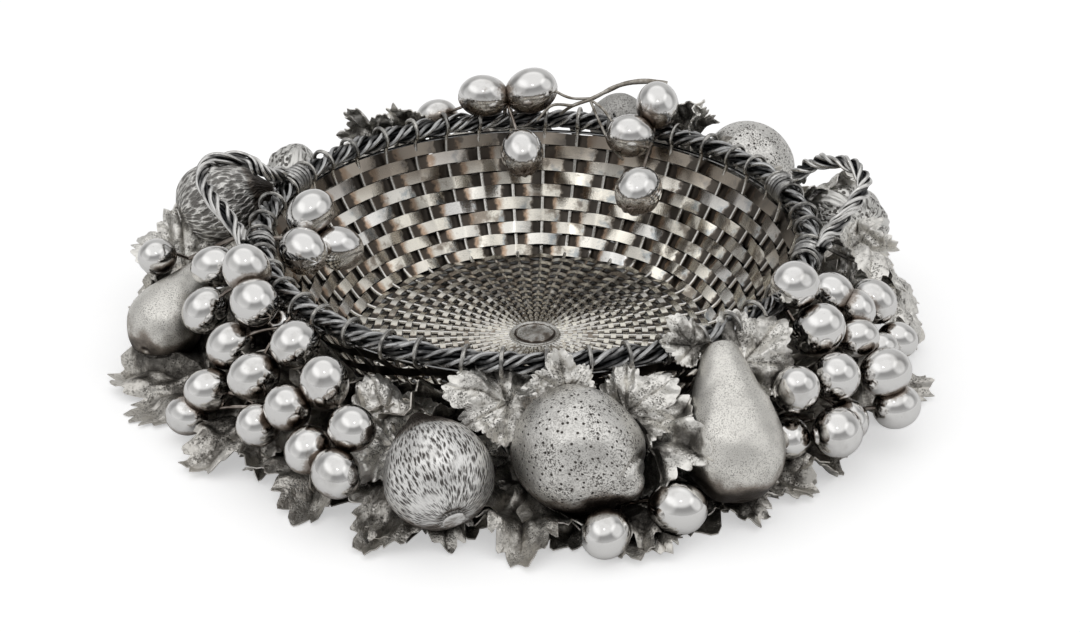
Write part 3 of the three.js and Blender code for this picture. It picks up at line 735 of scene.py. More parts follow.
SCALE_FIG = DashSilver(
    "scaled_peel", Slot.CHASED, bright=(0.86, 0.845, 0.81), polish=0.27, relief=0.9 * MM, dash_length=6.4 * MM, dash_width=2.5 * MM,
    dash_size=0.6, strength=0.78, clear_from=0.2, clear_to=0.4
)
QUINCE = StippleSilver("matt_peel", Slot.CHASED, bright=(0.5, 0.49, 0.47), polish=0.45, relief=0.3 * MM, grain=0.9 * MM)
WALNUT = ShellSilver("pitted_shell", Slot.CHASED, bright=(0.74, 0.73, 0.7), polish=0.3, relief=0.6 * MM)
LEAF = LeafSilver(
    "chased_leaf", Slot.LEAF, bright=(0.88, 0.86, 0.815), polish=0.33, bloom=0.46, relief=0.9 * MM, depth=-0.08
)
# Darker copies of the leaf finish, as painted shade: LOW_LEAF for leaves that lie low under the garland, DARK_LEAF for
# the leaves below and behind the fruit.
LOW_LEAF = LeafSilver(
    "oxidised_leaf", Slot.LEAF, bright=(0.69, 0.665, 0.62), polish=0.33, bloom=0.46, relief=0.9 * MM, depth=0.24
)
DARK_LEAF = LeafSilver(
    "shaded_leaf", Slot.LEAF, bright=(0.6, 0.57, 0.52), polish=0.36, bloom=0.48, relief=0.9 * MM, depth=0.08
)
TWIG = WireSilver(
    "bare_wood", Slot.WIRE, bright=(0.6, 0.57, 0.52), warm=(0.3, 0.25, 0.19), tarnish=(0.06, 0.05, 0.04), polish=0.35,
    cloud=5 * MM, relief=0.4 * MM
)
PLATE = StippleSilver("satin_plate", Slot.SATIN, bright=(0.62, 0.61, 0.58), polish=0.26)
ALL_FINISHES = (
    STRIP, FLOOR_STRIP, WIRE, HANDLE, STAKE, TWIG, GRAPE, LEMON, PEAR, FIG, SCALE_FIG, QUINCE, WALNUT, LEAF, LOW_LEAF, DARK_LEAF, PLATE
)


@dataclass
class Workshop:
    """Turns skins and node trees into finished pieces."""

    materials: dict[str, bpy.types.Material] = field(default_factory=dict)

    def prepare(self) -> None:
        """Builds every finish once."""
        self.materials = {finish.name: finish.material() for finish in ALL_FINISHES}

    def finish(self, piece: bpy.types.Object, finish: Silver, nodes: Iterable[str] = ()) -> None:
        """Closes, smooths and dresses a piece and gives it its place in the frame.

        Args:
            piece: The object, whose mesh is complete.
            finish: Its finish.
            nodes: The CAD nodes that it stands for.
        """
        mesh = piece.data
        shape = bmesh.new()
        shape.from_mesh(mesh)
        bmesh.ops.remove_doubles(shape, verts=shape.verts, dist=1e-7)
        bmesh.ops.holes_fill(shape, edges=[edge for edge in shape.edges if edge.is_boundary])
        bmesh.ops.recalc_face_normals(shape, faces=shape.faces)
        shape.to_mesh(mesh)
        shape.free()
        mesh.shade_smooth()
        mesh.set_sharp_from_angle(angle=math.radians(42))
        mesh.materials.clear()
        mesh.materials.append(self.materials[finish.name])
        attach(piece, BODY)
        if nodes:
            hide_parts(*nodes)
        log.info("%s: %d faces", piece.name, len(mesh.polygons))

    def piece(self, name: str, skin: Skin, finish: Silver, nodes: Iterable[str] = ()) -> bpy.types.Object:
        """Makes a finished piece of a skin.

        Args:
            name: The piece's name.
            skin: Its points, faces and values.
            finish: Its finish.
            nodes: The CAD nodes that it stands for.

        Returns:
            The piece.
        """
        mesh = bpy.data.meshes.new(name)
        mesh.from_pydata(skin.points.tolist(), [], skin.faces)
        for key, values in skin.values.items():
            attribute = mesh.attributes.new(key, "FLOAT", "POINT")
            attribute.data.foreach_set("value", values.astype(np.float32))
        made = bpy.data.objects.new(name, mesh)
        bpy.context.scene.collection.objects.link(made)
        self.finish(made, finish, nodes)
        return made

    def grown(
        self,
        name: str,
        sizes: dict[str, float | int],
        plan: Callable[[Graph, dict[str, Sock]], Sock],
        finish: Silver,
        nodes: Iterable[str],
        line: np.ndarray | None = None,
    ) -> bpy.types.Object:
        """Makes a finished piece with Geometry Nodes.

        Args:
            name: The piece's name.
            sizes: Named inputs of the tree and their values.
            plan: Adds the nodes and returns the geometry.
            finish: The piece's finish.
            nodes: The CAD nodes that it stands for.
            line: Points of a line that the tree starts from.

        Returns:
            The piece.
        """
        tree = bpy.data.node_groups.new(name, "GeometryNodeTree")
        tree.interface.new_socket("Geometry", in_out="INPUT", socket_type="NodeSocketGeometry")
        tree.interface.new_socket("Geometry", in_out="OUTPUT", socket_type="NodeSocketGeometry")
        for key, value in sizes.items():
            kind = "NodeSocketInt" if isinstance(value, int) else "NodeSocketFloat"
            tree.interface.new_socket(key, in_out="INPUT", socket_type=kind)
        graph = Graph(tree)
        source = tree.nodes.new("NodeGroupInput")
        given = {socket.name: Sock(graph, socket) for socket in source.outputs if socket.name}
        shape = graph.node("GeometryNodeRealizeInstances", {}, {"Geometry": plan(graph, given)})
        material = {"Geometry": shape, "Material": self.materials[finish.name]}
        graph.node("NodeGroupOutput", {}, {0: graph.node("GeometryNodeSetMaterial", {}, material)})
        mesh = bpy.data.meshes.new(name)
        if line is not None:
            edges = [(index, index + 1) for index in range(len(line) - 1)]
            mesh.from_pydata(line.tolist(), edges, [])
        made = bpy.data.objects.new(name, mesh)
        bpy.context.scene.collection.objects.link(made)
        modifier = made.modifiers.new(name, "NODES")
        modifier.node_group = tree
        for item in tree.interface.items_tree:
            if item.in_out == "INPUT" and item.name in sizes:
                modifier[item.identifier] = sizes[item.name]
        bpy.context.view_layer.update()
        state = bpy.context.evaluated_depsgraph_get()
        ready = made.evaluated_get(state)
        plain = bpy.data.meshes.new_from_object(ready, preserve_all_data_layers=True, depsgraph=state)
        made.modifiers.clear()
        made.data = plain
        self.finish(made, finish, nodes)
        return made


# Basket


@dataclass(frozen=True)
class WallLine:
    """The curve of the wall in radius and height, shared by the strip and the stakes."""

    foot: tuple[float, float] = (98.2 * MM, 3.9 * MM)
    bend: tuple[float, float] = (117 * MM, 23 * MM)
    top: tuple[float, float] = (139.9 * MM, 62.2 * MM)
    growth: float = 0.67

    def at(self, share: float) -> np.ndarray:
        """Returns the point at a share of the curve."""
        foot, bend, top = (np.array(point) for point in (self.foot, self.bend, self.top))
        return (1 - share) ** 2 * foot + 2 * share * (1 - share) * bend + share**2 * top

    def radius_at(self, heights: np.ndarray) -> np.ndarray:
        """Returns the wall's radius at each height."""
        line = np.array([self.at(share) for share in np.linspace(0, 1, 40)])
        return np.interp(heights, line[:, 1], line[:, 0])


@dataclass
class Weave:
    """The strips of the wall and of the floor, each one spiral over and under the stakes."""

    wall: WallLine = WallLine()
    wall_turns: int = 10
    wall_steps: int = 10
    floor_start: float = 14.2 * MM
    floor_end: float = 96.6 * MM
    floor_level: float = 3.9 * MM
    floor_turns: int = 24
    floor_steps: int = 6
    floor_growth: float = 2.0
    thickness: float = 0.45 * MM
    strip_share: float = 0.94
    floor_share: float = 0.84
    wall_lift: float = 2.1 * MM
    floor_lift: float = 1.25 * MM
    wall_shown: float = 0.64
    floor_shown: float = 0.52
    under_share: float = 0.66
    kink: float = 0.55
    sides: int = 8

    def wave(self, graph: Graph, crossing: Sock, shown: Sock) -> Sock:
        """Returns how far the strip stands out: folded over a stake, then dipping behind the next."""
        half = crossing * 0.5
        apart = graph.maths("ABSOLUTE", half - graph.maths("ROUND", half)) * 2
        over = graph.maths("MINIMUM", apart / shown, 1.0)
        bulge = 1 - over * self.kink - over * over * over * (1 - self.kink)
        under = graph.maths("MAXIMUM", (apart - shown) / (1 - shown), 0.0)
        return bulge - graph.maths("SINE", under * (math.pi / 2)) * self.under_share

    def plan(self, graph: Graph, given: dict[str, Sock]) -> Sock:
        """Adds the nodes of one woven strip and returns its geometry."""
        crossings = given["Turns"] * STAKES
        rows = {"Vertices X": crossings * given["Steps"] + 1, "Vertices Y": self.sides + 1}
        grid = graph.node("GeometryNodeMeshGrid", {}, {"Size X": 1.0, "Size Y": 1.0, **rows})
        where = graph.node("GeometryNodeInputPosition", {}, {})
        along = graph.node("ShaderNodeSeparateXYZ", {}, {0: where}, "X") + 0.5
        section = (graph.node("ShaderNodeSeparateXYZ", {}, {0: where}, "Y") + 0.5) * TURN + TURN / 16
        wide = graph.maths("MAXIMUM", graph.maths("MINIMUM", graph.maths("COSINE", section) * 1.09, 1.0), -1.0)
        face = graph.maths("SIGN", graph.maths("SINE", section))
        first = 2 / (given["Growth"] + 1)
        share = along * (first + (1 - first) * along)
        rest = 1 - share
        place = {}
        slope = {}
        for axis in ("radius", "height"):
            start, bend, end = (given[f"{stage} {axis}"] for stage in ("Start", "Bend", "End"))
            place[axis] = rest * rest * start + rest * share * bend * 2 + share * share * end
            slope[axis] = rest * (bend - start) * 2 + share * (end - bend) * 2
        speed = graph.maths("SQRT", slope["radius"] * slope["radius"] + slope["height"] * slope["height"])
        out, up = slope["radius"] / speed, slope["height"] / speed
        pitch = speed * (first + 2 * (1 - first) * along) / given["Turns"]
        crossing = along * crossings
        bent = self.wave(graph, crossing, given["Shown"])
        fast = {"W": crossing * 0.53, "Scale": 1.0, "Detail": 0.0}
        slow = {"W": crossing * 0.31 + 70, "Scale": 1.0}
        tilt = graph.node("ShaderNodeTexNoise", {"noise_dimensions": "1D"}, fast) - 0.5
        drift = graph.node("ShaderNodeTexNoise", {"noise_dimensions": "1D"}, slow) - 0.5
        half = pitch * given["Strip share"] / 2
        off = bent * given["Lift"] + face * self.thickness / 2 + wide * half * tilt * given["Tilt"]
        beside = wide * half + drift * pitch * 0.16
        radius = place["radius"] + beside * out - off * up
        height = place["height"] + beside * up + off * out
        angle = along * given["Turns"] * TURN
        bent_place = graph.vector(
            radius * graph.maths("COSINE", angle), radius * graph.maths("SINE", angle), height
        )
        inner = (face + 1) * 0.5
        for name, value in {"crossing": crossing, "inner": inner}.items():
            settings = {"data_type": "FLOAT", "domain": "POINT"}
            sockets = {"Geometry": grid, "Name": name, "Value": value}
            grid = graph.node("GeometryNodeStoreNamedAttribute", settings, sockets)
        strip = graph.node("GeometryNodeSetPosition", {}, {"Geometry": grid, "Position": bent_place})
        return graph.node("GeometryNodeMergeByDistance", {}, {"Geometry": strip, "Distance": 0.001 * MM})

    def build(self, shop: Workshop) -> None:
        """Builds and dresses the wall and the floor."""
        wall = {
            "Turns": self.wall_turns,
            "Steps": self.wall_steps,
            "Start radius": self.wall.foot[0],
            "Start height": self.wall.foot[1],
            "Bend radius": self.wall.bend[0],
            "Bend height": self.wall.bend[1],
            "End radius": self.wall.top[0],
            "End height": self.wall.top[1],
            "Growth": self.wall.growth,
            "Strip share": self.strip_share,
            "Lift": self.wall_lift,
            "Shown": self.wall_shown,
            "Tilt": 0.5,
        }
        shop.grown("wall_strip", wall, self.plan, STRIP, ["wall_weave"])
        floor = wall | {
            "Turns": self.floor_turns,
            "Steps": self.floor_steps,
            "Start radius": self.floor_start,
            "Start height": self.floor_level,
            "Bend radius": (self.floor_start + self.floor_end) / 2,
            "Bend height": self.floor_level,
            "End radius": self.floor_end,
            "End height": self.floor_level,
            "Growth": self.floor_growth,
            "Strip share": self.floor_share,
            "Lift": self.floor_lift,
            "Shown": self.floor_shown,
            "Tilt": 0.3,
        }
        shop.grown("floor_strip", floor, self.plan, FLOOR_STRIP, ["floor_weave"])


@dataclass
class StakeFrame:
    """Round stakes from the middle over the floor, up the wall and over the rope."""

    wire: float = 2.2 * MM
    start: float = 12.5 * MM
    level: float = 3.9 * MM
    corner_bend: float = 5 * MM
    wall: WallLine = WallLine()
    hook_radius: float = 6.9 * MM
    hook_from: float = 215
    hook_to: float = -85
    lean: float = 3.2 * MM
    sides: int = 8

    def line(self) -> np.ndarray:
        """Returns the middle line of one stake in the plane of radius and height."""
        rim = np.array([RIM_RADIUS, RIM_HEIGHT])
        hooks = np.radians(np.linspace(self.hook_from, self.hook_to, 12))
        hook = rim + self.hook_radius * np.column_stack([np.cos(hooks), np.sin(hooks)])
        flat_end = self.wall.foot[0] - self.corner_bend
        spoke = [[radius, self.level] for radius in np.linspace(self.start, flat_end, 9)]
        wall = [self.wall.at(share) for share in (0.08, 0.25, 0.45, 0.65, 0.85)]
        flat = smooth_line([*spoke, *wall, *hook], 74)
        return np.column_stack([flat[:, 0], np.zeros(len(flat)), flat[:, 1]])

    def plan(self, graph: Graph, given: dict[str, Sock]) -> Sock:
        """Adds the nodes that set the stakes round the axis and returns their geometry."""
        curve = graph.node("GeometryNodeMeshToCurve", {}, {"Mesh": given["Geometry"]})
        sockets = {"Geometry": curve, "Amount": given["Stakes"]}
        copies = graph.node("GeometryNodeDuplicateElements", {"domain": "SPLINE"}, sockets)
        number = Sock(graph, graph.pick(copies.socket.node.outputs, "Duplicate Index"))
        where = graph.node("GeometryNodeInputPosition", {}, {})
        high = graph.step(graph.node("ShaderNodeSeparateXYZ", {}, {0: where}, "Z"), 50 * MM, 76 * MM)
        settings = {"data_type": "FLOAT"}
        leans = {"Min": -1.0, "Max": 1.0, "ID": number, "Seed": 4}
        chance = graph.node("FunctionNodeRandomValue", settings, leans, "Value")
        aside = graph.vector(0.0, chance * high * given["Lean"], 0.0)
        moved = graph.node("ShaderNodeVectorMath", {"operation": "ADD"}, {0: where, 1: aside})
        turn = {"Vector": moved, "Axis": (0.0, 0.0, 1.0), "Angle": number * TURN / given["Stakes"]}
        turned = graph.node("ShaderNodeVectorRotate", {"rotation_type": "AXIS_ANGLE"}, turn)
        placed = graph.node("GeometryNodeSetPosition", {}, {"Geometry": copies, "Position": turned})
        circle = {"Resolution": self.sides, "Radius": given["Wire"] / 2}
        profile = graph.node("GeometryNodeCurvePrimitiveCircle", {}, circle)
        sockets = {"Curve": placed, "Profile Curve": profile, "Fill Caps": True}
        wires = graph.node("GeometryNodeCurveToMesh", {}, sockets)
        settings = {"data_type": "FLOAT", "domain": "POINT"}
        top = graph.node("ShaderNodeSeparateXYZ", {}, {0: graph.node("GeometryNodeInputPosition", {}, {})}, "Z")
        worn = 0.95 - graph.step(top, 58 * MM, 70 * MM) * 0.15
        rubbed = {"Geometry": wires, "Name": "rubbed", "Value": worn}
        return graph.node("GeometryNodeStoreNamedAttribute", settings, rubbed)

    def build(self, shop: Workshop) -> None:
        """Builds and dresses the stakes."""
        sizes = {"Stakes": STAKES, "Wire": self.wire, "Lean": self.lean}
        shop.grown("stakes", sizes, self.plan, STAKE, ["stake_frame"], self.line())


@dataclass
class RimRope:
    """Loosely twisted bundles of wire that form the rim, and the thin hoop where the wall ends."""

    bundles: int = 3
    strands: int = 9
    twists: int = 15
    lay: float = 2.95 * MM
    inner_twists: int = 31
    inner_lay: float = 1.55 * MM
    wire: float = 2.45 * MM
    looseness: float = 1.15
    steps: int = 840
    sides: int = 8
    hoop_radius: float = 141.6 * MM
    hoop_height: float = 60.2 * MM
    hoop_wire: float = 1.3 * MM

    def plan(self, graph: Graph, given: dict[str, Sock]) -> Sock:
        """Adds the nodes of a ring of twisted wires and returns its geometry."""
        circle = graph.node("GeometryNodeCurvePrimitiveCircle", {}, {"Resolution": given["Steps"]})
        sockets = {"Geometry": circle, "Amount": given["Strands"]}
        copies = graph.node("GeometryNodeDuplicateElements", {"domain": "SPLINE"}, sockets)
        number = Sock(graph, graph.pick(copies.socket.node.outputs, "Duplicate Index"))
        part = graph.node("GeometryNodeSplineParameter", {}, {}, "Factor")
        turn = part * TURN
        ring = graph.vector(graph.maths("COSINE", turn), graph.maths("SINE", turn), number * 3.7)
        loose = graph.node("ShaderNodeTexNoise", {}, {"Vector": ring, "Scale": 5.0, "Detail": 1.0}) - 0.5
        slack = graph.node("ShaderNodeTexNoise", {}, {"Vector": ring, "Scale": 9.0, "Detail": 1.0}) - 0.5
        phase = (number / given["Bundles"] + part * given["Twists"]) * TURN + loose * given["Looseness"] * 1.6
        inner = (number / given["Strands"] + part * given["Inner twists"]) * TURN + slack * given["Looseness"] * 2
        lay = given["Lay"] * (1 + slack * given["Looseness"] * 0.9)
        radius = given["Radius"] + lay * graph.maths("COSINE", phase)
        radius = radius + given["Inner lay"] * graph.maths("COSINE", inner)
        height = given["Height"] + lay * graph.maths("SINE", phase)
        height = height + given["Inner lay"] * graph.maths("SINE", inner)
        place = graph.vector(radius * graph.maths("COSINE", turn), radius * graph.maths("SINE", turn), height)
        placed = graph.node("GeometryNodeSetPosition", {}, {"Geometry": copies, "Position": place})
        circle = {"Resolution": self.sides, "Radius": given["Wire"] / 2}
        profile = graph.node("GeometryNodeCurvePrimitiveCircle", {}, circle)
        wires = graph.node("GeometryNodeCurveToMesh", {}, {"Curve": placed, "Profile Curve": profile})
        # Strands nearer the rope's middle get painted shade, the outer ones count as rubbed.
        where = graph.node("GeometryNodeInputPosition", {}, {})
        x, y, z = (graph.node("ShaderNodeSeparateXYZ", {}, {0: where}, axis) for axis in "XYZ")
        across = graph.maths("SQRT", x * x + y * y) - given["Radius"]
        rise = z - given["Height"]
        distance = graph.maths("SQRT", across * across + rise * rise)
        rubbed = distance / (given["Lay"] + given["Inner lay"] + given["Wire"] / 2)
        settings = {"data_type": "FLOAT", "domain": "POINT"}
        sockets = {"Geometry": wires, "Name": "rubbed", "Value": rubbed}
        return graph.node("GeometryNodeStoreNamedAttribute", settings, sockets)

    def build(self, shop: Workshop) -> None:
        """Builds and dresses the rope and the hoop."""
        rope = {
            "Bundles": self.bundles,
            "Strands": self.strands,
            "Twists": self.twists,
            "Inner twists": self.inner_twists,
            "Steps": self.steps,
            "Radius": RIM_RADIUS,
            "Height": RIM_HEIGHT,
            "Lay": self.lay,
            "Inner lay": self.inner_lay,
            "Wire": self.wire,
            "Looseness": self.looseness,
        }
        shop.grown("rope_strands", rope, self.plan, WIRE, ["rim_rope"])
        hoop = rope | {
            "Bundles": 2,
            "Strands": 2,
            "Twists": 0,
            "Inner twists": 0,
            "Radius": self.hoop_radius,
            "Height": self.hoop_height,
            "Lay": self.hoop_wire / 2,
            "Inner lay": 0.0,
            "Wire": self.hoop_wire,
            "Looseness": 0.0,
        }
        shop.grown("hoop_wires", hoop, self.plan, WIRE, ["top_hoop"])


@dataclass
class Foot:
    """The bordered medallion in the middle of the floor and the hoop below the wall."""

    plate_radius: float = 12.7 * MM
    plate_level: float = 4.7 * MM
    border: float = 2.0 * MM
    border_height: float = 0.9 * MM
    bead: float = 1.0 * MM
    disc_radius: float = 26.5 * MM
    disc_height: float = 2.0 * MM
    hoop_inner: float = 97.5 * MM
    hoop_outer: float = 107.5 * MM

    def build(self, shop: Workshop) -> None:
        """Builds and dresses the medallion and the hoop."""
        level = self.plate_level
        outline = [
            (0, level),
            (self.plate_radius, level),
            (self.plate_radius + self.bead / 2, level + self.bead / 2),
            (self.plate_radius, level + self.bead * 1.3),
            (self.plate_radius - self.bead, level + self.bead),
            (self.plate_radius - self.border, level + self.bead * 0.8),
            (self.plate_radius - self.border - self.bead, level + self.bead * 1.5),
            (self.plate_radius - self.border - self.bead * 2, level + self.bead * 0.7),
            (0, level + self.bead),
        ]
        up = np.array([0.0, 0.0, 1.0])
        plate = turned_skin(smooth_line(outline, 60, mirrored=True), up, np.zeros(3), 96)
        inset = self.plate_radius - np.hypot(plate.points[:, 0], plate.points[:, 1])
        border = np.exp(-(((inset - self.bead * 0.4) / self.bead) ** 2))
        groove = np.exp(-(((inset - self.border - self.bead * 0.2) / (self.bead * 0.6)) ** 2))
        cloud = 0.14 * ripples(plate.points, 6 * MM, 3)
        plate.values["shelter"] = np.clip(0.34 + cloud - 0.35 * border + 0.6 * groove, 0, 1)
        shop.piece("medallion", plate, PLATE, ["centre_plate"])
        height, radius = self.disc_height, self.disc_radius
        low = TABLE_GAP
        edge = [(0, low), (radius * 0.6, low), (radius, height * 0.2), (radius, height * 0.8), (0, height)]
        disc = turned_skin(smooth_line(edge, 40, mirrored=True), up, np.zeros(3), 96)
        disc.set_value("rubbed", 0.3)
        shop.piece("middle_disc", disc, WIRE, ["centre_foot"])
        strands = []
        for radius, height, wire in (
            (self.hoop_outer - 3 * MM, 3.2 * MM, 2.6 * MM),
            (self.hoop_inner + 2 * MM, 1.6 * MM, 1.2 * MM),
        ):
            turns = np.linspace(0, 360, 181)
            ring = np.array([around(angle, radius, height) for angle in turns])
            strands.append(tube(ring, wire, 10).set_value("rubbed", 0.35))
        shop.piece("foot_wires", Skin.joined(strands), WIRE, ["foot_hoop"])


@dataclass
class Handles:
    """Two rope handles and the wires wound round the rim at their ends."""

    bundles: int = 3
    wires: int = 9
    wire: float = 2.1 * MM
    lay: float = 2.1 * MM
    twist_length: float = 40 * MM
    inner_lay: float = 1.3 * MM
    inner_length: float = 26 * MM
    loop_radius: float = 6.95 * MM
    loop_wire: float = 2.2 * MM
    loop_pitch: float = 2.95 * MM
    steps: int = 150
    left: tuple[Share, ...] = (
        (190.9, 1.055, 1.09),
        (185.3, 1.1, 1.18),
        (180.2, 1.18, 1.3),
        (175, 1.22, 1.36),
        (170.4, 1.21, 1.39),
        (166.8, 1.12, 1.35),
        (166, 1.05, 1.26),
        (162.3, 1.01, 1.15),
        (157.1, 1.055, 1.09),
    )
    right: tuple[Share, ...] = (
        (346.6, 1.055, 1.09),
        (350.8, 1.07, 1.14),
        (353.2, 1.12, 1.25),
        (356.3, 1.16, 1.33),
        (359.2, 1.19, 1.38),
        (2.9, 1.19, 1.435),
        (6.5, 1.15, 1.445),
        (10.6, 1.1, 1.39),
        (14, 1.06, 1.31),
        (16.8, 1.03, 1.2),
        (19.5, 1.055, 1.09),
    )
    lashings: dict[str, tuple[float, int]] = field(
        default_factory=lambda: {
            "handle_left_lashing_front": (188.5, 3),
            "handle_left_lashing_back": (156.5, 5),
            "handle_right_lashing_front": (346.5, 3),
            "handle_right_lashing_back": (20, 5),
        }
    )

    def rope(self, shares: tuple[Share, ...], seed: int) -> Skin:
        """Twists wires along a handle's path and returns them as one skin."""
        path = smooth_line([garland_place(share) for share in shares], self.steps)
        length = np.linalg.norm(np.diff(path, axis=0), axis=1).sum()
        heading = unit(np.gradient(path, axis=0))
        outward = unit(path * (1, 1, 0))
        across = unit(np.cross(heading, outward))
        up = np.cross(heading, across)
        part = np.linspace(0, 1, self.steps)
        strands = []
        for number in range(self.wires):
            seeds = seed * 10 + number
            loose = ripples(path, 34 * MM, seeds, 5)
            slack = ripples(path, 22 * MM, seeds + 5, 5)
            phase = TURN * (number / self.bundles + part * length / self.twist_length) + 0.5 * loose
            inner = TURN * (number / self.wires + part * length / self.inner_length) + 0.6 * slack
            lay = self.lay * (1 + 0.22 * slack)
            offset = across * (lay * np.cos(phase) + self.inner_lay * np.cos(inner))[:, None]
            offset = offset + up * (lay * np.sin(phase) + self.inner_lay * np.sin(inner))[:, None]
            strand = tube(path + offset, self.wire / 2, 8)
            # Painted shade between the wires, by their distance from the handle's middle; the outer ones count as
            # rubbed.
            reach = np.linalg.norm(strand.points - np.repeat(path, 8, axis=0), axis=1)
            strand.values["rubbed"] = reach / (self.lay + self.inner_lay + self.wire / 2)
            strands.append(strand)
        return Skin.joined(strands)

    def loops(self, angle: float, count: int, seed: int) -> Skin:
        """Winds wire round the rim and returns it."""
        step = 360 / STAKES
        middle = (math.floor(angle / step) + 0.5) * step
        turns = np.linspace(-0.15, count + 0.15, count * 22)
        travelled = (turns - count / 2) * self.loop_pitch
        angles = middle + np.degrees(travelled / RIM_RADIUS)
        wobble = ripples(np.column_stack([turns, turns * 0, turns * 0]), 2.2, seed, 5)
        reach = self.loop_radius * (1 + 0.035 * wobble)
        radii = RIM_RADIUS + reach * np.cos(TURN * turns)
        heights = RIM_HEIGHT + reach * np.sin(TURN * turns)
        line = np.array([around(*row) for row in zip(angles, radii, heights, strict=True)])
        return tube(line, self.loop_wire / 2, 8).set_value("rubbed", 0.72)

    def build(self, shop: Workshop) -> None:
        """Builds and dresses both handles and their lashings."""
        shop.piece("handle_left_wires", self.rope(self.left, 1), HANDLE, ["handle_left"])
        shop.piece("handle_right_wires", self.rope(self.right, 2), HANDLE, ["handle_right"])
        for seed, (name, (angle, count)) in enumerate(self.lashings.items()):
            shop.piece(name.replace("lashing", "windings"), self.loops(angle, count, seed), HANDLE, [name])


# Fruit


class Outline(Enum):
    """Half outlines of the fruit as shares of its radius: across the axis and along it."""

    LEMON = (
        (0, -1.1), (0.3, -1.04), (0.62, -0.84), (0.88, -0.48), (1, 0), (0.88, 0.48),
        (0.64, 0.8), (0.41, 0.97), (0.29, 1.05), (0.21, 1.12), (0.11, 1.17), (0, 1.19),
    )
    FIG = (
        (0, -0.95), (0.17, -0.95), (0.21, -0.93), (0.22, -0.9), (0.4, -0.88), (0.66, -0.75), (0.9, -0.44), (1, 0), (0.86, 0.5),
        (0.56, 0.87), (0.28, 1.1), (0.13, 1.26), (0, 1.32),
    )
    PEAR = (
        (0, -0.96), (0.2, -0.99), (0.56, -0.87), (0.9, -0.46), (1, 0.02), (0.91, 0.55),
        (0.72, 1.08), (0.53, 1.58), (0.38, 1.94), (0.2, 2.13), (0, 2.16),
    )
    NUT = (
        (0, -1.0), (0.34, -0.95), (0.66, -0.75), (0.92, -0.4), (1, 0), (0.9, 0.44),
        (0.6, 0.82), (0.3, 1.0), (0.1, 1.07), (0, 1.08),
    )


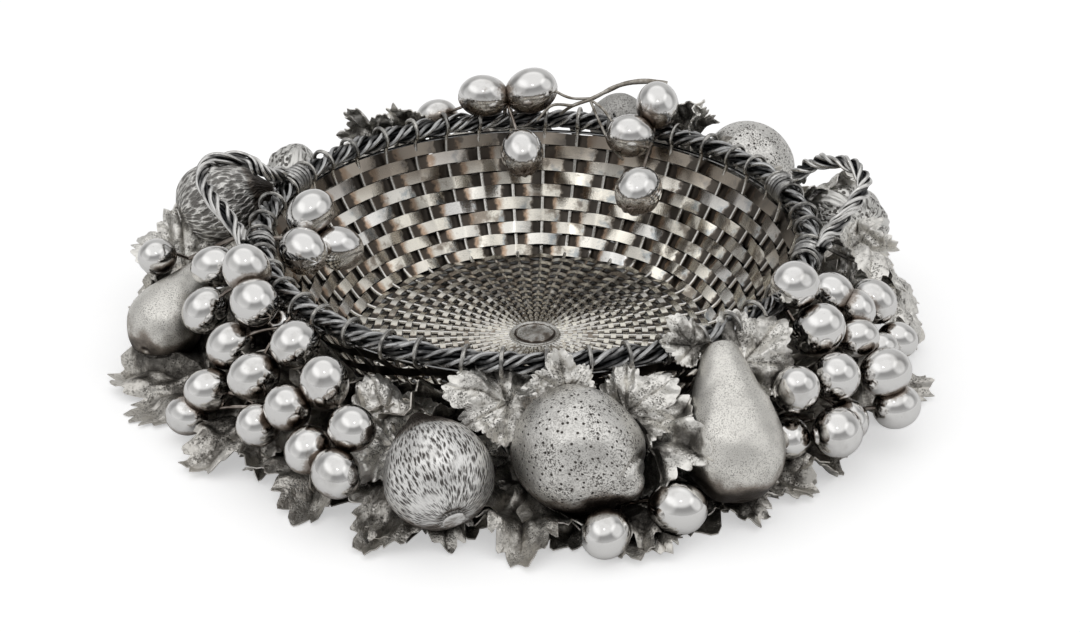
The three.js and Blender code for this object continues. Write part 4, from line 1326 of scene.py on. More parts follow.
@dataclass(frozen=True)
class Fruit:
    """One fruit: its place in the garland, the heading of its axis in degrees, and its make."""

    name: str
    outline: Outline
    place: Share
    heading: tuple[float, float]
    carrier: Carrier
    radius: float
    finish: Silver
    seed: int
    lumps: float = 0.015
    scar_share: float = 0.23
    columns: int = 160
    rows: int = 110

    def axis(self) -> np.ndarray:
        """Returns the direction from the fruit's foot to its tip."""
        turn, rising = (math.radians(angle) for angle in self.heading)
        return unit(np.array([math.cos(turn), math.sin(turn), math.tan(rising)]))

    def declare(self, neighbours: Neighbours) -> None:
        """Adds the fruit to the round bodies as a row of balls."""
        middle = garland_place(self.place)
        for across, along in smooth_line(self.outline.value, 11, mirrored=True)[1:-1]:
            reach = max(across, 0.2)
            held = np.clip(along, -0.9 + reach, None) if along < 0 else along
            neighbours.add(self.name, middle + self.axis() * held * self.radius, reach * self.radius)

    def relief(self, skin: Skin) -> np.ndarray:
        """Returns how far each point stands out beyond the plain outline, as a share of the radius."""
        points = skin.points / self.radius
        swell = ripples(points, 1.5, self.seed) + 0.35 * ripples(points, 0.5, self.seed + 1)
        out = self.lumps * swell
        turn = skin.values["around"] / self.radius
        along = skin.values["along"] / skin.values["along"].max()
        middle = np.sin(math.pi * along)
        if self.outline is Outline.NUT and self.finish is WALNUT:
            bands = np.abs(np.cos(turn * 1.5 + 0.25 * np.sin(along * 5)))
            wrinkles = ripples(points * (1, 1, 0.6), 0.4, self.seed + 2)
            ridge = np.exp(-((bands / 0.4) ** 4)) * middle
            lines = np.cos(bands * 22) * ridge
            skin.values["panel"] = np.clip(1.2 - 1.5 * ridge, 0, 1)
            out = out + 0.05 * ridge + 0.022 * lines + 0.035 * wrinkles * middle * skin.values["panel"]
        elif self.outline is Outline.FIG:
            ribs = np.cos(turn * 7 + 0.5 * np.sin(turn * 2))
            out = out + 0.012 * ribs * middle
            apart = skin.values["along"] / self.radius - self.scar_share
            skin.values["panel"] = (apart < 0).astype(float)
            notches = 0.6 + 0.4 * np.cos(turn * 17)
            skin.values["ring"] = 0.85 * notches * np.exp(-(((apart - 0.045) / 0.05) ** 2))
            out = out + 0.03 * skin.values["panel"] - 0.03 * skin.values["ring"]
        elif self.outline is Outline.LEMON:
            crease = np.exp(-(((along - 0.845 - 0.02 * np.cos(turn)) / 0.016) ** 2))
            out = out - 0.09 * crease * np.clip(0.5 + 0.7 * np.cos(turn - 2.4), 0, 1)
            for place, side in ((0.9, 2.3), (0.3, 4.4)):
                aside = np.abs((turn - side + math.pi) % TURN - math.pi) * middle
                out = out - 0.05 * np.exp(-((aside / 0.16) ** 2) - ((along - place) / 0.03) ** 2)
        return out

    def build(self, shop: Workshop, neighbours: Neighbours) -> None:
        """Builds and dresses the fruit with its stalk."""
        middle = garland_place(self.place)
        outline = smooth_line(self.outline.value, self.rows, mirrored=True) * self.radius
        outline[[0, -1], 0] = 0
        skin = turned_skin(outline, self.axis(), middle, self.columns)
        ends = middle + self.axis() * np.clip((skin.points - middle) @ self.axis(), outline[0, 1], None)[:, None]
        outward = unit(skin.points - (ends * 0.6 + middle * 0.4))
        skin.points = skin.points + outward * (self.relief(skin) * self.radius)[:, None]
        skin.points[:, 2] = np.maximum(skin.points[:, 2], TABLE_GAP)
        self.shade(skin, neighbours)
        stalk = tube(smooth_line([carrier_place(self.carrier, middle), middle], 8), 1.4 * MM)
        for name in skin.values:
            stalk.set_value(name, 0.9)
        stalk.values.pop("rubbed")
        shop.piece(self.name + "_body", Skin.joined([skin, stalk]), self.finish, [self.name])

    def shade(self, skin: Skin, neighbours: Neighbours) -> None:
        """Stores patina and painted shade at each point: near other bodies, underneath, facing into the basket, at the
        outline seen from the front, at a fig's neck and at a pear's foot.
        """
        normals = normals_of(skin.points, skin.faces)
        middle = garland_place(self.place)
        if ((skin.points - middle) * normals).sum() < 0:
            normals = -normals
        # Painted shade on sides that face into the basket and on the underside.
        inward = -normals @ unit(middle * (1, 1, 0))
        below = np.clip(-normals[:, 2], 0, 1)
        contact = neighbours.shelter(skin.points, self.name)
        along = skin.values["along"] / skin.values["along"].max()
        # A fig darkens towards its neck; a pear's foot gets painted shade.
        neck = np.clip(along * 7 - 4.7, 0, 1) * (self.outline is Outline.FIG)
        foot = np.clip(1.3 - along * 2.6, 0, 1) * (self.outline is Outline.PEAR)
        # Painted shade towards the outline, as seen from the front.
        aside = 1 - np.abs(normals @ unit(np.array([0.0, -0.8, 0.6])))
        # Contact adds patina and painted shade near other bodies.
        shelter = 0.9 * contact + 0.62 * below**1.3 + 0.22 * np.clip(inward, 0, 1) + 0.7 * neck
        shelter = shelter + 0.36 * foot + 0.36 * aside**2
        skin.values["shelter"] = np.clip(shelter, 0, 1)


RIM, FOOT = Carrier.RIM, Carrier.FOOT
FRUIT = (
    Fruit("lemon_front", Outline.LEMON, (276.8, 1.24, 0.58), (-35, -15), FOOT, 30 * MM, LEMON, 1, lumps=0.024),
    Fruit("fig_front", Outline.FIG, (256.7, 1.36, 0.5), (112, 29), FOOT, 26 * MM, FIG, 2, lumps=0.006),
    Fruit("pear_front", Outline.PEAR, (299.6, 1.34, 0.5), (100, 45), FOOT, 24.5 * MM, PEAR, 3),
    Fruit("pear_left", Outline.PEAR, (189.2, 1.36, 0.42), (61, 23), FOOT, 19.6 * MM, PEAR, 4),
    Fruit("fig_left", Outline.FIG, (160.6, 1.28, 0.78), (20, 10), RIM, 24.2 * MM, SCALE_FIG, 5),
    Fruit("walnut_left", Outline.NUT, (141, 1.225, 0.74), (60, 50), RIM, 14.8 * MM, WALNUT, 6),
    Fruit("walnut_right", Outline.NUT, (17.4, 1.24, 0.63), (-70, 25), RIM, 22.5 * MM, WALNUT, 7),
    Fruit("lemon_back", Outline.LEMON, (46.2, 1.23, 0.68), (130, 10), RIM, 25.2 * MM, LEMON, 8),
    Fruit("quince_back", Outline.NUT, (74.1, 1.23, 0.79), (0, 80), RIM, 17 * MM, QUINCE, 9),
    Fruit("fig_back", Outline.FIG, (97, 1.233, 0.42), (240, 30), FOOT, 23.3 * MM, FIG, 10),
    Fruit("pear_back", Outline.PEAR, (124, 1.28, 0.4), (30, 12), FOOT, 20.8 * MM, PEAR, 11),
)


# Grapes


@dataclass(frozen=True)
class Sprig:
    """A sprig of grapes: angle, shares of the rim's radius and height, and size of each grape."""

    name: str
    carrier: Carrier
    grapes: tuple[Share, ...]
    knot: Share | None = None
    radius: float = 12 * MM
    long_share: float = 1.15
    chased: bool = False
    # Extra painted shade for a whole sprig.
    painted_gloom: float = 0.05
    lean: float = 0.9
    stands_for: bool = True
    stem: float = 1.7 * MM
    columns: int = 44
    rows: int = 32

    def middles(self) -> list[tuple[np.ndarray, float]]:
        """Returns the middle and radius of each grape."""
        return [(garland_place(grape[:3]), grape[3] * self.radius) for grape in self.grapes]

    def declare(self, neighbours: Neighbours) -> None:
        """Adds each grape to the round bodies under a name of its own."""
        for number, (middle, radius) in enumerate(self.middles()):
            neighbours.add(f"{self.name}_{number}", middle, radius)

    def knot_place(self) -> np.ndarray:
        """Returns the place where the stems meet."""
        if self.knot:
            return garland_place(self.knot)
        middle = np.mean([place for place, _ in self.middles()], axis=0)
        share = 0.5 if self.carrier is RIM else 0.2
        return middle + (carrier_place(self.carrier, middle) - middle) * share

    def build(self, shop: Workshop, neighbours: Neighbours) -> None:
        """Builds and dresses the grapes and their stems."""
        knot = self.knot_place()
        chance = np.random.default_rng(int(self.grapes[0][0] * 10))
        skins = []
        stems = []
        for number, (middle, radius) in enumerate(self.middles()):
            turns = np.linspace(-math.pi / 2, math.pi / 2, self.rows)
            across = np.cos(turns) * radius
            along = np.sin(turns) * radius * self.long_share
            along[-1] -= 0.02 * radius
            sideways = unit(np.cross(middle, np.array([0.0, 0.0, 1.0])))
            axis = unit(knot - middle) + sideways * self.lean * chance.choice([-1, 1]) * chance.uniform(0.5, 1)
            skin = turned_skin(np.column_stack([across, along]), axis, middle, self.columns)
            contact = neighbours.shelter(skin.points, f"{self.name}_{number}")
            normals = unit(skin.points - middle)
            inward = np.clip(-normals @ unit(middle * (1, 1, 0)), 0, 1)
            below = np.clip(-normals[:, 2], 0, 1)
            downward = unit(unit(middle - knot) + np.array([0, 0, -1.5]))
            foot = np.clip((normals @ downward) * 3 - 1.1, 0, 1) * self.chased
            flutes = np.cos(skin.values["around"] / radius * 9) * foot
            skin.points = skin.points + normals * (flutes * 0.035 * radius)[:, None]
            aside = 1 - np.abs(normals @ unit(np.array([0.0, -0.8, 0.6])))
            # Patina and painted shade: near other grapes, underneath, facing into the basket, at the outline seen from
            # the front, patina in the chased foot, and more for a gloomier sprig.
            shelter = 0.72 * contact + (0.26 + self.painted_gloom) * below + 0.24 * inward + 0.3 * foot
            shelter = shelter + (0.1 + self.painted_gloom * 0.7) * aside**2 + self.painted_gloom * 0.2
            skin.values = {"shelter": np.clip(shelter, 0, 1), "chased": foot}
            skins.append(skin)
            bow = (knot + middle) / 2 + np.array([0, 0, 2.5 * MM])
            stem = tube(smooth_line([knot, bow, middle], 12), self.stem / 2 * np.linspace(1.2, 0.9, 12))
            stems.append(stem.set_value("shelter", 0.62).set_value("chased", 0))
        root = carrier_place(self.carrier, knot)
        main = tube(smooth_line([root, knot], 6), self.stem * 0.7)
        stems.append(main.set_value("shelter", 0.6).set_value("chased", 0))
        for stem in stems:
            stem.values.pop("rubbed")
        nodes = [self.name] if self.stands_for else []
        shop.piece(self.name + "_sprig", Skin.joined(skins + stems), GRAPE, nodes)


SPRIGS = (
    Sprig("grapes_left_top", RIM, ((190, 1.17, 0.9, 0.9), (205, 1.105, 1.16, 1), (198, 1.23, 0.72, 0.93), (211, 1.13, 1.02, 1))),
    Sprig("grapes_left_middle", RIM, ((209, 1.21, 0.66, 0.96), (224, 1.13, 0.9, 1), (220, 1.25, 0.66, 0.97), (211, 1.01, 0.75, 0.84)), painted_gloom=0.3),
    Sprig("grapes_left_low", FOOT, ((211, 1.32, 0.39, 0.95), (210, 1.4, 0.2, 0.84), (226, 1.34, 0.45, 0.9), (231, 1.31, 0.66, 0.95)), painted_gloom=0.3),
    Sprig("grapes_left_front", FOOT, ((235, 1.22, 0.84, 1), (243, 1.32, 0.69, 0.95), (237, 1.37, 0.48, 0.95), (243, 1.43, 0.45, 0.97)), painted_gloom=0.3),
    Sprig("grapes_inside_left", RIM, ((179, 0.82, 1.13, 0.96), (191, 0.85, 0.99, 1), (182, 0.72, 0.87, 0.96)), long_share=1.2, chased=True, lean=0.2),
    Sprig("grapes_right_top", RIM, ((325.5, 1.085, 1.2, 1), (336, 1.14, 0.96, 0.88), (336, 1.23, 0.87, 0.8), (342, 1.26, 0.81, 0.92))),
    Sprig("grapes_right_middle", RIM, ((325, 1.19, 0.9, 1.05), (331, 1.28, 0.76, 0.8), (335.5, 1.335, 0.6, 0.66), (341, 1.36, 0.54, 0.77)), (328, 1.12, 0.68)),
    Sprig("grapes_right_low", FOOT, ((321, 1.32, 0.69, 1), (313, 1.29, 0.72, 0.96), (329, 1.41, 0.6, 1), (321, 1.38, 0.37, 0.82))),
    Sprig("grapes_right_front", FOOT, ((316, 1.42, 0.42, 1.03), (312, 1.29, 0.33, 0.88), (329, 1.46, 0.34, 0.92))),
    Sprig("grapes_front", FOOT, ((279, 1.48, 0.21, 0.97), (289, 1.435, 0.275, 1.06)), lean=0),
    Sprig("grapes_back", RIM, ((102, 0.98, 1.25, 1), (91, 0.97, 1.29, 1.06), (94, 0.73, 0.95, 1), (111, 1.1, 0.99, 0.86)), (97, 0.97, 1.22), long_share=1.2, chased=True, painted_gloom=0.15, lean=0.3),
    Sprig("grapes_back_right", RIM, ((64, 0.85, 1.07, 1), (51, 0.63, 0.84, 1.06), (61, 0.99, 1.25, 1)), chased=True, painted_gloom=0.15, lean=0.3),
    Sprig("grape_far_left", RIM, ((180.5, 1.385, 0.78, 0.8),), (178, 1.28, 0.7), stands_for=False),
)


# Leaves


class Edge(Enum):
    """How the edge of a leaf is cut."""

    SCALLOPED = "scalloped"
    POINTED = "pointed"


@dataclass(frozen=True)
class Leaf:
    """A vine leaf from its base to its tip, rolled about its midrib and curled."""

    name: str
    base: Share
    tip: Share
    seed: int
    roll: float = 0
    curl: float = 0.12
    fold: float = 0.06
    ruffle: float = 0.06
    # How much painted shade the heart of the leaf gets.
    deep: float = 0.34
    carrier: Carrier = FOOT
    stands_for: bool = True
    edge: Edge = Edge.POINTED
    rays: int = 220
    rings: int = 18
    thickness: float = 0.7 * MM
    lobes: tuple[tuple[float, float], ...] = ((0, 1), (50, 0.84), (-50, 0.84), (104, 0.62), (-104, 0.62))
    tooth_degrees: float = 9.5
    stalk: float = 1.2 * MM
    wall_gap: float = 4 * MM
    clear: float = 4.5 * MM
    low_tip: float = 0.21

    def reach(self, turns: np.ndarray) -> np.ndarray:
        """Returns the blade's outline as shares of its length, by direction from its heart."""
        chance = np.random.default_rng(self.seed)
        degrees = np.degrees(turns)
        reach = np.zeros_like(degrees)
        rounded = self.edge is Edge.SCALLOPED
        for angle, length in self.lobes:
            aside = np.abs(degrees - angle - chance.uniform(-4, 4)) / (30 if rounded else 33)
            fall = 0.36 * aside**2 if rounded else 0.24 * aside + 0.16 * aside**2
            lobe = length * chance.uniform(0.93, 1.07) if angle else length
            reach = np.maximum(reach, lobe * (1 - np.minimum(fall, 0.34 if rounded else 0.6)))
        teeth = degrees / self.tooth_degrees + 0.25 * np.sin(degrees / 17 + self.seed)
        number = np.floor(teeth).astype(int)
        depth = chance.uniform(0.5, 1.25, size=200)[number % 200]
        notch = 1 - np.abs(np.sin(math.pi * teeth)) if rounded else np.abs((teeth - number) * 2 - 1) ** 0.8
        reach = reach * (1 - (0.09 if rounded else 0.13) * depth * notch)
        back = np.clip((np.abs(degrees) - 128) / 50, 0, 1)
        return reach * (1 - 0.55 * back)

    def blade(self, length: float) -> tuple[np.ndarray, dict[str, np.ndarray]]:
        """Forms the blade's upper side.

        Args:
            length: From its heart to its tip.

        Returns:
            Points along the midrib, across it and up from it, ray by ray, and their values.
        """
        turns = np.linspace(-math.pi, math.pi, self.rays, endpoint=False) * 0.985
        outline = self.reach(turns)
        share = np.linspace(0, 1, self.rings + 1)[1:] ** 0.85
        distance = outline[:, None] * share
        along = distance * np.cos(turns)[:, None]
        across = distance * np.sin(turns)[:, None]
        vein = np.zeros_like(along)
        nearest = np.full_like(along, 9.0)
        branches = np.zeros_like(along)
        for angle, reach in self.lobes:
            direction = math.radians(angle)
            forward = along * math.cos(direction) + across * math.sin(direction)
            aside = np.abs(across * math.cos(direction) - along * math.sin(direction))
            ahead = forward > 0
            vein = np.maximum(vein, np.exp(-((aside / 0.015) ** 2)) * ahead * (forward < reach))
            closer = ahead & (aside < nearest)
            comb = (forward - 0.9 * aside) / 0.15
            line = np.abs(comb - np.round(comb))
            branches = np.where(closer, np.exp(-((line / 0.13) ** 2)), branches)
            nearest = np.where(closer, aside, nearest)
        puff = np.clip(nearest / 0.16, 0, 1)
        lift = self.fold * nearest + 0.085 * puff * (1 - 0.4 * share)
        lift = lift - 0.016 * vein - 0.012 * branches * puff
        waves = np.sin(turns * 5 + self.seed) + 0.6 * np.sin(turns * 11 + 2 * self.seed)
        lift = lift + self.ruffle * waves[:, None] * distance * share
        bend = self.curl * (2 if self.edge is Edge.SCALLOPED else 1)
        lift = lift - bend * along * np.abs(along) - bend * across**2
        flat = np.column_stack([along.ravel(), across.ravel(), lift.ravel()])
        flat[:, 2] += 0.022 * ripples(flat * (1, 1, 0), 0.22, self.seed + 40)
        flat[:, 2] += 0.06 * ripples(flat * (1, 1, 0), 0.5, self.seed + 41)
        values = {
            "vein": np.maximum(0.6 * vein, 0.3 * branches * puff).ravel(),
            "edge": (np.ones_like(along) * share**7).ravel(),
            "heart": (np.ones_like(along) * (1 - share) ** 0.8).ravel(),
        }
        return flat * length, values

    def outside_wall(self, points: np.ndarray) -> np.ndarray:
        """Returns points below the rim moved out of the basket's wall."""
        radii = np.hypot(points[:, 0], points[:, 1])
        least = WallLine().radius_at(points[:, 2]) + self.wall_gap
        low = (points[:, 2] < RIM_HEIGHT - ROPE_RADIUS) & (radii < least)
        points[low, :2] *= (least / radii)[low, None]
        return points

    def skin(self, neighbours: Neighbours) -> Skin:
        """Forms the leaf in its place, with its stalk, and returns it."""
        base, tip = garland_place(self.base), garland_place(self.tip)
        length = float(np.linalg.norm(tip - base))
        forward = unit(tip - base)
        outward = unit(base * (1, 1, 0))
        sideways = unit(np.cross(np.array([0.0, 0.0, 1.0]) + 0.6 * outward, forward))
        roll = math.radians(self.roll)
        sideways = sideways * math.cos(roll) + np.cross(forward, sideways) * math.sin(roll)
        face = np.cross(forward, sideways)
        flat, values = self.blade(length)
        top = base + flat[:, :1] * forward + flat[:, 1:2] * sideways + flat[:, 2:] * face
        top = neighbours.pushed_out(top, self.thickness)
        top = self.outside_wall(top)
        least = self.thickness + TABLE_GAP
        near = np.minimum(top[:, 2] - self.clear, 0) / (self.clear - least)
        top[:, 2] = np.where(near < 0, least + (self.clear - least) * np.exp(near), top[:, 2])
        heart = top.reshape(self.rays, self.rings, 3)[:, 0].mean(axis=0)
        top = np.vstack([top, heart])
        rows = [(ray * self.rings, ((ray + 1) % self.rays) * self.rings) for ray in range(self.rays)]
        faces = []
        for here, after in rows:
            faces.append((len(top) - 1, here, after))
            faces.extend(
                (here + ring, here + ring + 1, after + ring + 1, after + ring) for ring in range(self.rings - 1)
            )
        normals = normals_of(top, faces)
        low = top - normals * self.thickness
        low[:, 2] = np.maximum(low[:, 2], TABLE_GAP)
        count = len(top)
        under = [tuple(count + corner for corner in reversed(face)) for face in faces]
        last = self.rings - 1
        side = [(here + last, count + here + last, count + after + last, after + last) for here, after in rows]
        skin = Skin(np.vstack([top, low]), faces + under + side)
        # Painted shade grows towards the leaf's heart.
        painted_heart_shade = np.append(values["heart"], 1.0) * self.deep
        shelter = neighbours.shelter(skin.points, self.name) + np.concatenate([painted_heart_shade, painted_heart_shade])
        for name, fallback in (("vein", 0.5), ("edge", 0.0)):
            whole = np.append(values[name], fallback)
            skin.values[name] = np.concatenate([whole, whole])
        # The underside gets more painted shade.
        skin.values["shelter"] = np.clip(shelter + np.repeat([0.0, 0.35], count), 0, 1)
        root = carrier_place(self.carrier, base)
        bow = (root + base) / 2 - outward * 1.5 * MM
        stalk = tube(smooth_line([root, bow, heart], 10), self.stalk)
        stalk.values = {"vein": np.zeros(80), "edge": np.zeros(80), "shelter": np.full(80, 0.7)}
        return Skin.joined([skin, stalk])

    def build(self, shop: Workshop, neighbours: Neighbours) -> None:
        """Builds and dresses the leaf."""
        nodes = [self.name] if self.stands_for else []
        name = self.name + "_blade" if self.stands_for else self.name
        # Leaves that lie low get the darker copy of the finish, as painted shade.
        finish = LOW_LEAF if self.tip[2] < self.low_tip else LEAF
        shop.piece(name, self.skin(neighbours), finish, nodes)


@dataclass
class Underleaves:
    """Leaves that fill the room below and behind the fruit, darkened with painted shade."""

    low_step: float = 9
    upright_step: float = 5
    open_front: tuple[float, float] = (254, 275)

    def low(self) -> list[Leaf]:
        """Returns the leaves that lie on the table under the garland."""
        chance = np.random.default_rng(11)
        leaves = []
        for number, angle in enumerate(np.arange(0, 360, self.low_step)):
            turn = angle + chance.uniform(-3, 3)
            base = (turn, 0.88, chance.uniform(0.08, 0.14))
            front = 195 < turn < 330
            far = chance.uniform(1.36, 1.47) if front else chance.uniform(1.24, 1.32)
            tip = (turn + chance.uniform(-6, 6), far, chance.uniform(0.1, 0.16))
            leaves.append(Leaf("low", base, tip, 60 + number, curl=0.05, ruffle=0.11, deep=0.7, rays=150, rings=8))
        return leaves

    def upright(self) -> list[Leaf]:
        """Returns the leaves that stand outside the wall behind the fruit."""
        chance = np.random.default_rng(12)
        leaves = []
        for number, angle in enumerate(np.arange(0, 360, self.upright_step)):
            turn = angle + chance.uniform(-1.5, 1.5)
            base = (turn, chance.uniform(0.9, 0.96), 0.24)
            behind = 25 < turn < 155
            top = chance.uniform(0.9, 0.98) if behind else chance.uniform(0.74, 0.86)
            tip = (turn + chance.uniform(-3, 3), chance.uniform(1.12, 1.19), top)
            if not self.open_front[0] < turn < self.open_front[1]:
                leaves.append(Leaf("upright", base, tip, 120 + number, deep=0.9, rays=72, rings=7))
        return leaves

    def build(self, shop: Workshop, neighbours: Neighbours) -> None:
        """Builds and dresses both rings of leaves."""
        for name, leaves in (("low_leaves", self.low()), ("upright_leaves", self.upright())):
            # Both rings take the darker DARK_LEAF copy, as painted shade.
            shop.piece(name, Skin.joined([leaf.skin(neighbours) for leaf in leaves]), DARK_LEAF)


SCALLOPED = Edge.SCALLOPED
LEAVES = (
    Leaf("leaf_left_low", (200, 1.24, 0.2), (190, 1.583, 0.13), 21),
    Leaf("leaf_left", (173, 1.3, 0.3), (170, 1.57, 0.12), 22),
    Leaf("leaf_front_left", (218, 1.18, 0.18), (218, 1.55, 0.13), 23),
    Leaf("leaf_under_grapes", (233, 1.08, 0.2), (238, 1.52, 0.13), 24),
    Leaf("leaf_under_fig", (254, 1.1, 0.16), (250, 1.52, 0.13), 25),
    Leaf("leaf_beside_fig", (246, 1.16, 0.4), (238, 1.04, 0.8), 26, roll=20, edge=SCALLOPED),
    Leaf("leaf_rim_left", (265.5, 1.1, 0.8), (254.6, 1.11, 0.97), 27, carrier=RIM, edge=SCALLOPED),
    Leaf("leaf_rim_middle", (275.5, 1.12, 0.9), (274.5, 1.07, 1.2), 28, carrier=RIM, edge=SCALLOPED),
    Leaf("leaf_rim_right", (285, 1.15, 0.72), (293.6, 1.15, 0.99), 29, carrier=RIM, edge=SCALLOPED),
    Leaf("leaf_lemon_right", (287.2, 1.2, 0.6), (293.6, 1.42, 0.72), 30, roll=15, edge=SCALLOPED),
    Leaf("leaf_lemon_low", (269, 1.15, 0.22), (268, 1.56, 0.13), 31),
    Leaf("leaf_front", (281, 1.15, 0.14), (284, 1.56, 0.13), 32),
    Leaf("leaf_under_pear", (303, 1.14, 0.14), (312, 1.44, 0.13), 33),
    Leaf("leaf_right_front", (320, 1.14, 0.16), (317, 1.46, 0.13), 34),
    Leaf("leaf_pear_right", (309, 1.12, 0.86), (319.5, 1.12, 1.1), 35, carrier=RIM, edge=SCALLOPED),
    Leaf("leaf_pear_rim", (300, 1.06, 1.04), (298, 0.98, 1.25), 36, carrier=RIM, edge=SCALLOPED),
    Leaf("leaf_right", (1, 1.2, 0.5), (356, 1.466, 0.15), 37),
    Leaf("leaf_right_tip", (340, 1.22, 0.14), (344, 1.51, 0.13), 38),
    Leaf("leaf_handle_right", (28, 1.2, 0.74), (18, 1.27, 1.12), 39, roll=30, carrier=RIM),
    Leaf("leaf_back_left", (124, 1.13, 0.88), (130, 1.17, 1.2), 40, carrier=RIM),
    Leaf("leaf_back_middle", (116, 1.12, 0.85), (121, 1.13, 1.2), 41, carrier=RIM),
    Leaf("leaf_back_right", (60, 1.14, 0.93), (54, 1.12, 1.27), 42, carrier=RIM),
    Leaf("leaf_behind_left", (142, 1.12, 0.16), (146, 1.46, 0.13), 43),
    Leaf("leaf_behind", (70, 1.1, 0.16), (68, 1.43, 0.13), 44, stands_for=False),
    Leaf("leaf_crinkled_left", (181, 1.4, 0.52), (177.5, 1.5, 0.2), 45, ruffle=0.14, stands_for=False),
    Leaf("leaf_lemon_fold", (264.5, 1.05, 0.3), (265.5, 1.12, 0.86), 46, roll=70, stands_for=False),
    Leaf("leaf_thin_back", (55, 1.06, 1.0), (54.5, 1.13, 1.28), 47, roll=65, carrier=RIM, stands_for=False),
    Leaf("leaf_right_fold", (0, 1.17, 0.84), (356, 1.33, 0.98), 53, roll=70, carrier=RIM, stands_for=False),
    Leaf("leaf_right_upper", (358, 1.19, 0.93), (354.5, 1.39, 0.66), 48, curl=0.25, carrier=RIM, stands_for=False),
    Leaf("leaf_right_middle", (356.5, 1.27, 0.7), (351.5, 1.46, 0.3), 49, curl=0.25, carrier=RIM, stands_for=False),
    Leaf("leaf_pear_low", (300.5, 1.24, 0.16), (300.4, 1.52, 0.12), 54, deep=0.2, stands_for=False),
    Leaf("leaf_pear_side", (306.5, 1.2, 0.18), (310.2, 1.48, 0.12), 55, deep=0.2, stands_for=False),
    Leaf("leaf_sheath_left", (172, 1.33, 0.45), (163, 1.42, 0.86), 52, roll=35, carrier=RIM, stands_for=False),
    Leaf("leaf_fig_left", (252.5, 1.2, 0.2), (248.4, 1.58, 0.13), 50, stands_for=False),
    Leaf("leaf_front_right", (285, 1.3, 0.15), (286.2, 1.56, 0.13), 51, stands_for=False),
)


@dataclass
class Twig:
    """The bare forked twig that lies on the rim at the back."""

    thick: float = 3.4 * MM
    thin: float = 1.6 * MM
    branches: tuple[tuple[Share, ...], ...] = (
        ((61.9, 1.11, 1.34), (66, 1.08, 1.36), (70.8, 1.03, 1.34), (76.5, 0.96, 1.25), (80.8, 0.93, 1.2), (84, 0.95, 1.1)),
        ((76.5, 0.96, 1.25), (81.5, 0.93, 1.27), (86.5, 0.96, 1.32)),
        ((80.8, 0.93, 1.2), (85.7, 0.89, 1.23), (89.5, 0.86, 1.12)),
        ((77, 0.96, 1.24), (73.5, 0.93, 1.2), (70, 0.88, 1.14)),
        ((77, 0.96, 1.24), (73.4, 0.9, 1.08), (68.5, 0.82, 0.97), (62, 0.72, 0.98)),
    )

    def build(self, shop: Workshop) -> None:
        """Builds and dresses the twig."""
        sticks = []
        for number, shares in enumerate(self.branches):
            line = smooth_line([garland_place(share) for share in shares], 30)
            radii = np.linspace(self.thick, self.thin, 30) / 2 if number == 0 else np.full(30, self.thin / 2)
            stick = tube(line, radii * (1 + 0.08 * ripples(line, 9 * MM, number)), 10)
            sticks.append(stick.set_value("rubbed", 0.8))
        shop.piece("bare_twig", Skin.joined(sticks), TWIG)


@dataclass
class Garland:
    """Fruit, grapes and leaves round the basket."""

    neighbours: Neighbours = field(default_factory=Neighbours)

    def build(self, shop: Workshop) -> None:
        """Builds and dresses the whole garland."""
        for piece in (*FRUIT, *SPRIGS):
            piece.declare(self.neighbours)
        for piece in (*FRUIT, *SPRIGS, *LEAVES, Underleaves()):
            piece.build(shop, self.neighbours)
        Twig().build(shop)


# Studio


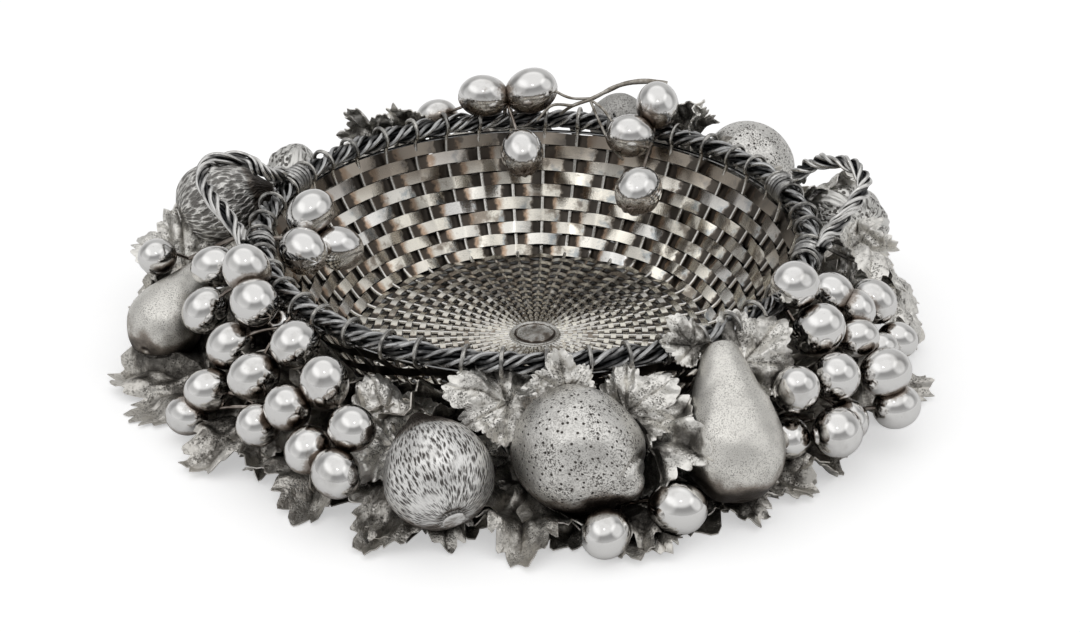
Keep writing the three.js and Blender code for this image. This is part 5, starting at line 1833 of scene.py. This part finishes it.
@dataclass
class Studio:
    """The camera, a pale table, a plain grey room and large soft lamps."""

    camera_place: tuple[float, float, float] = (2.7 * MM, -1219.1 * MM, 669.1 * MM)
    camera_tilt: float = 61.82
    lens: float = 86.67
    table: float = 6.0
    table_colour: Colour = (0.8, 0.8, 0.8)
    table_glow: float = 0.45
    # Radii over which the table's glow fades in, from a painted shadow under the basket.
    covered: tuple[float, float] = (90 * MM, 175 * MM)
    mirrored_glow: float = 0.15
    room: float = 0.33
    windows: tuple[tuple[Share, float, float, float], ...] = (
        ((-0.08, -0.12, 0.99), 0.58, 0.82, 0.6),
        ((0.83, -0.2, 0.52), 0.85, 0.965, 0.45),
        ((-0.8, -0.36, 0.47), 0.72, 0.92, 0.26),
        ((0.1, 0.95, 0.3), 0.5, 0.95, 0.26),
        ((0, 0, -1), -0.42, 0.02, 0.2),
    )
    lamps: tuple[tuple[Share, Share, Share, float], ...] = (
        ((0.02, -0.75, 1.15), (0, 0, 0.03), (0.045, 0.045), 24),
    )

    def camera(self) -> None:
        """Adds the camera at the photograph's angle."""
        data = bpy.data.cameras.new("camera")
        data.sensor_width = 36
        data.lens = self.lens
        data.clip_start = 0.01
        made = bpy.data.objects.new("camera", data)
        made.location = self.camera_place
        made.rotation_euler = Euler((math.radians(self.camera_tilt), 0, 0))
        bpy.context.scene.collection.objects.link(made)
        bpy.context.scene.camera = made

    def floor(self) -> None:
        """Adds a table top that shows white to the camera and in metal, keeps shadows, and has a painted shadow under
        the basket where its glow fades out.
        """
        mesh = bpy.data.meshes.new("table_top")
        half = self.table / 2
        corners = [(-half, -half, 0), (half, -half, 0), (half, half, 0), (-half, half, 0)]
        mesh.from_pydata(corners, [], [(0, 1, 2, 3)])
        made = bpy.data.objects.new("table_top", mesh)
        bpy.context.scene.collection.objects.link(made)
        material = bpy.data.materials.new("table_white")
        material.use_nodes = True
        material.node_tree.nodes.clear()
        graph = Graph(material.node_tree)
        camera, glossy, clear = (
            graph.node("ShaderNodeLightPath", {}, {}, f"Is {kind} Ray")
            for kind in ("Camera", "Glossy", "Transmission")
        )
        seen = graph.maths("MAXIMUM", graph.maths("MAXIMUM", camera, clear), glossy * self.mirrored_glow)
        diffuse = graph.node("ShaderNodeBsdfDiffuse", {}, {"Color": (*self.table_colour, 1)})
        # Painted shadow: the glow fades out under the basket.
        distance = graph.node("ShaderNodeVectorMath", {"operation": "LENGTH"}, {0: graph.place()}, "Value")
        outside_painted_shadow = graph.step(distance, *self.covered)
        glow = graph.node("ShaderNodeEmission", {}, {"Strength": seen * outside_painted_shadow * self.table_glow})
        both = graph.node("ShaderNodeAddShader", {}, {0: diffuse, 1: glow})
        graph.node("ShaderNodeOutputMaterial", {}, {"Surface": both})
        mesh.materials.append(material)

    def light(self) -> None:
        """Adds the grey room and the lamps."""
        world = bpy.data.worlds.new("studio")
        bpy.context.scene.world = world
        world.use_nodes = True
        world.node_tree.nodes.clear()
        graph = Graph(world.node_tree)
        heading = graph.node("ShaderNodeTexCoord", {}, {}, "Generated")
        bright = self.room
        for towards, edge, middle, strength in self.windows:
            axis = unit(np.array(towards)).tolist()
            facing = graph.node("ShaderNodeVectorMath", {"operation": "DOT_PRODUCT"}, {0: heading, 1: axis}, "Value")
            bright = graph.step(facing, edge, middle) * strength + bright
        seen = graph.node("ShaderNodeLightPath", {}, {}, "Is Camera Ray")
        bright = bright + (1 - bright) * seen
        back = graph.node("ShaderNodeBackground", {}, {"Color": (1, 1, 1, 1), "Strength": bright})
        graph.node("ShaderNodeOutputWorld", {}, {"Surface": back})
        for number, (place, aim, size, radiance) in enumerate(self.lamps):
            data = bpy.data.lights.new(f"softbox_{number}", "AREA")
            data.shape = "RECTANGLE"
            data.size, data.size_y = size
            data.energy = radiance * math.pi * size[0] * size[1]
            made = bpy.data.objects.new(f"softbox_{number}", data)
            made.location = place
            made.rotation_euler = (Vector(aim) - Vector(place)).to_track_quat("-Z", "Y").to_euler()
            bpy.context.scene.collection.objects.link(made)

    def build(self) -> None:
        """Sets up the camera, the table and the light."""
        bpy.context.scene.view_settings.view_transform = "Standard"
        self.camera()
        self.floor()
        self.light()


def write_sizes() -> None:
    """Updates the view layer."""
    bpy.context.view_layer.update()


def main() -> None:
    """Builds the basket piece by piece, then the studio."""
    logging.basicConfig(level=logging.INFO, format="%(message)s")
    shop = Workshop()
    shop.prepare()
    Studio().build()
    for part in (Weave(), StakeFrame(), RimRope(), Foot(), Handles(), Garland()):
        part.build(shop)
    write_sizes()


if __name__ == "__main__":
    main()
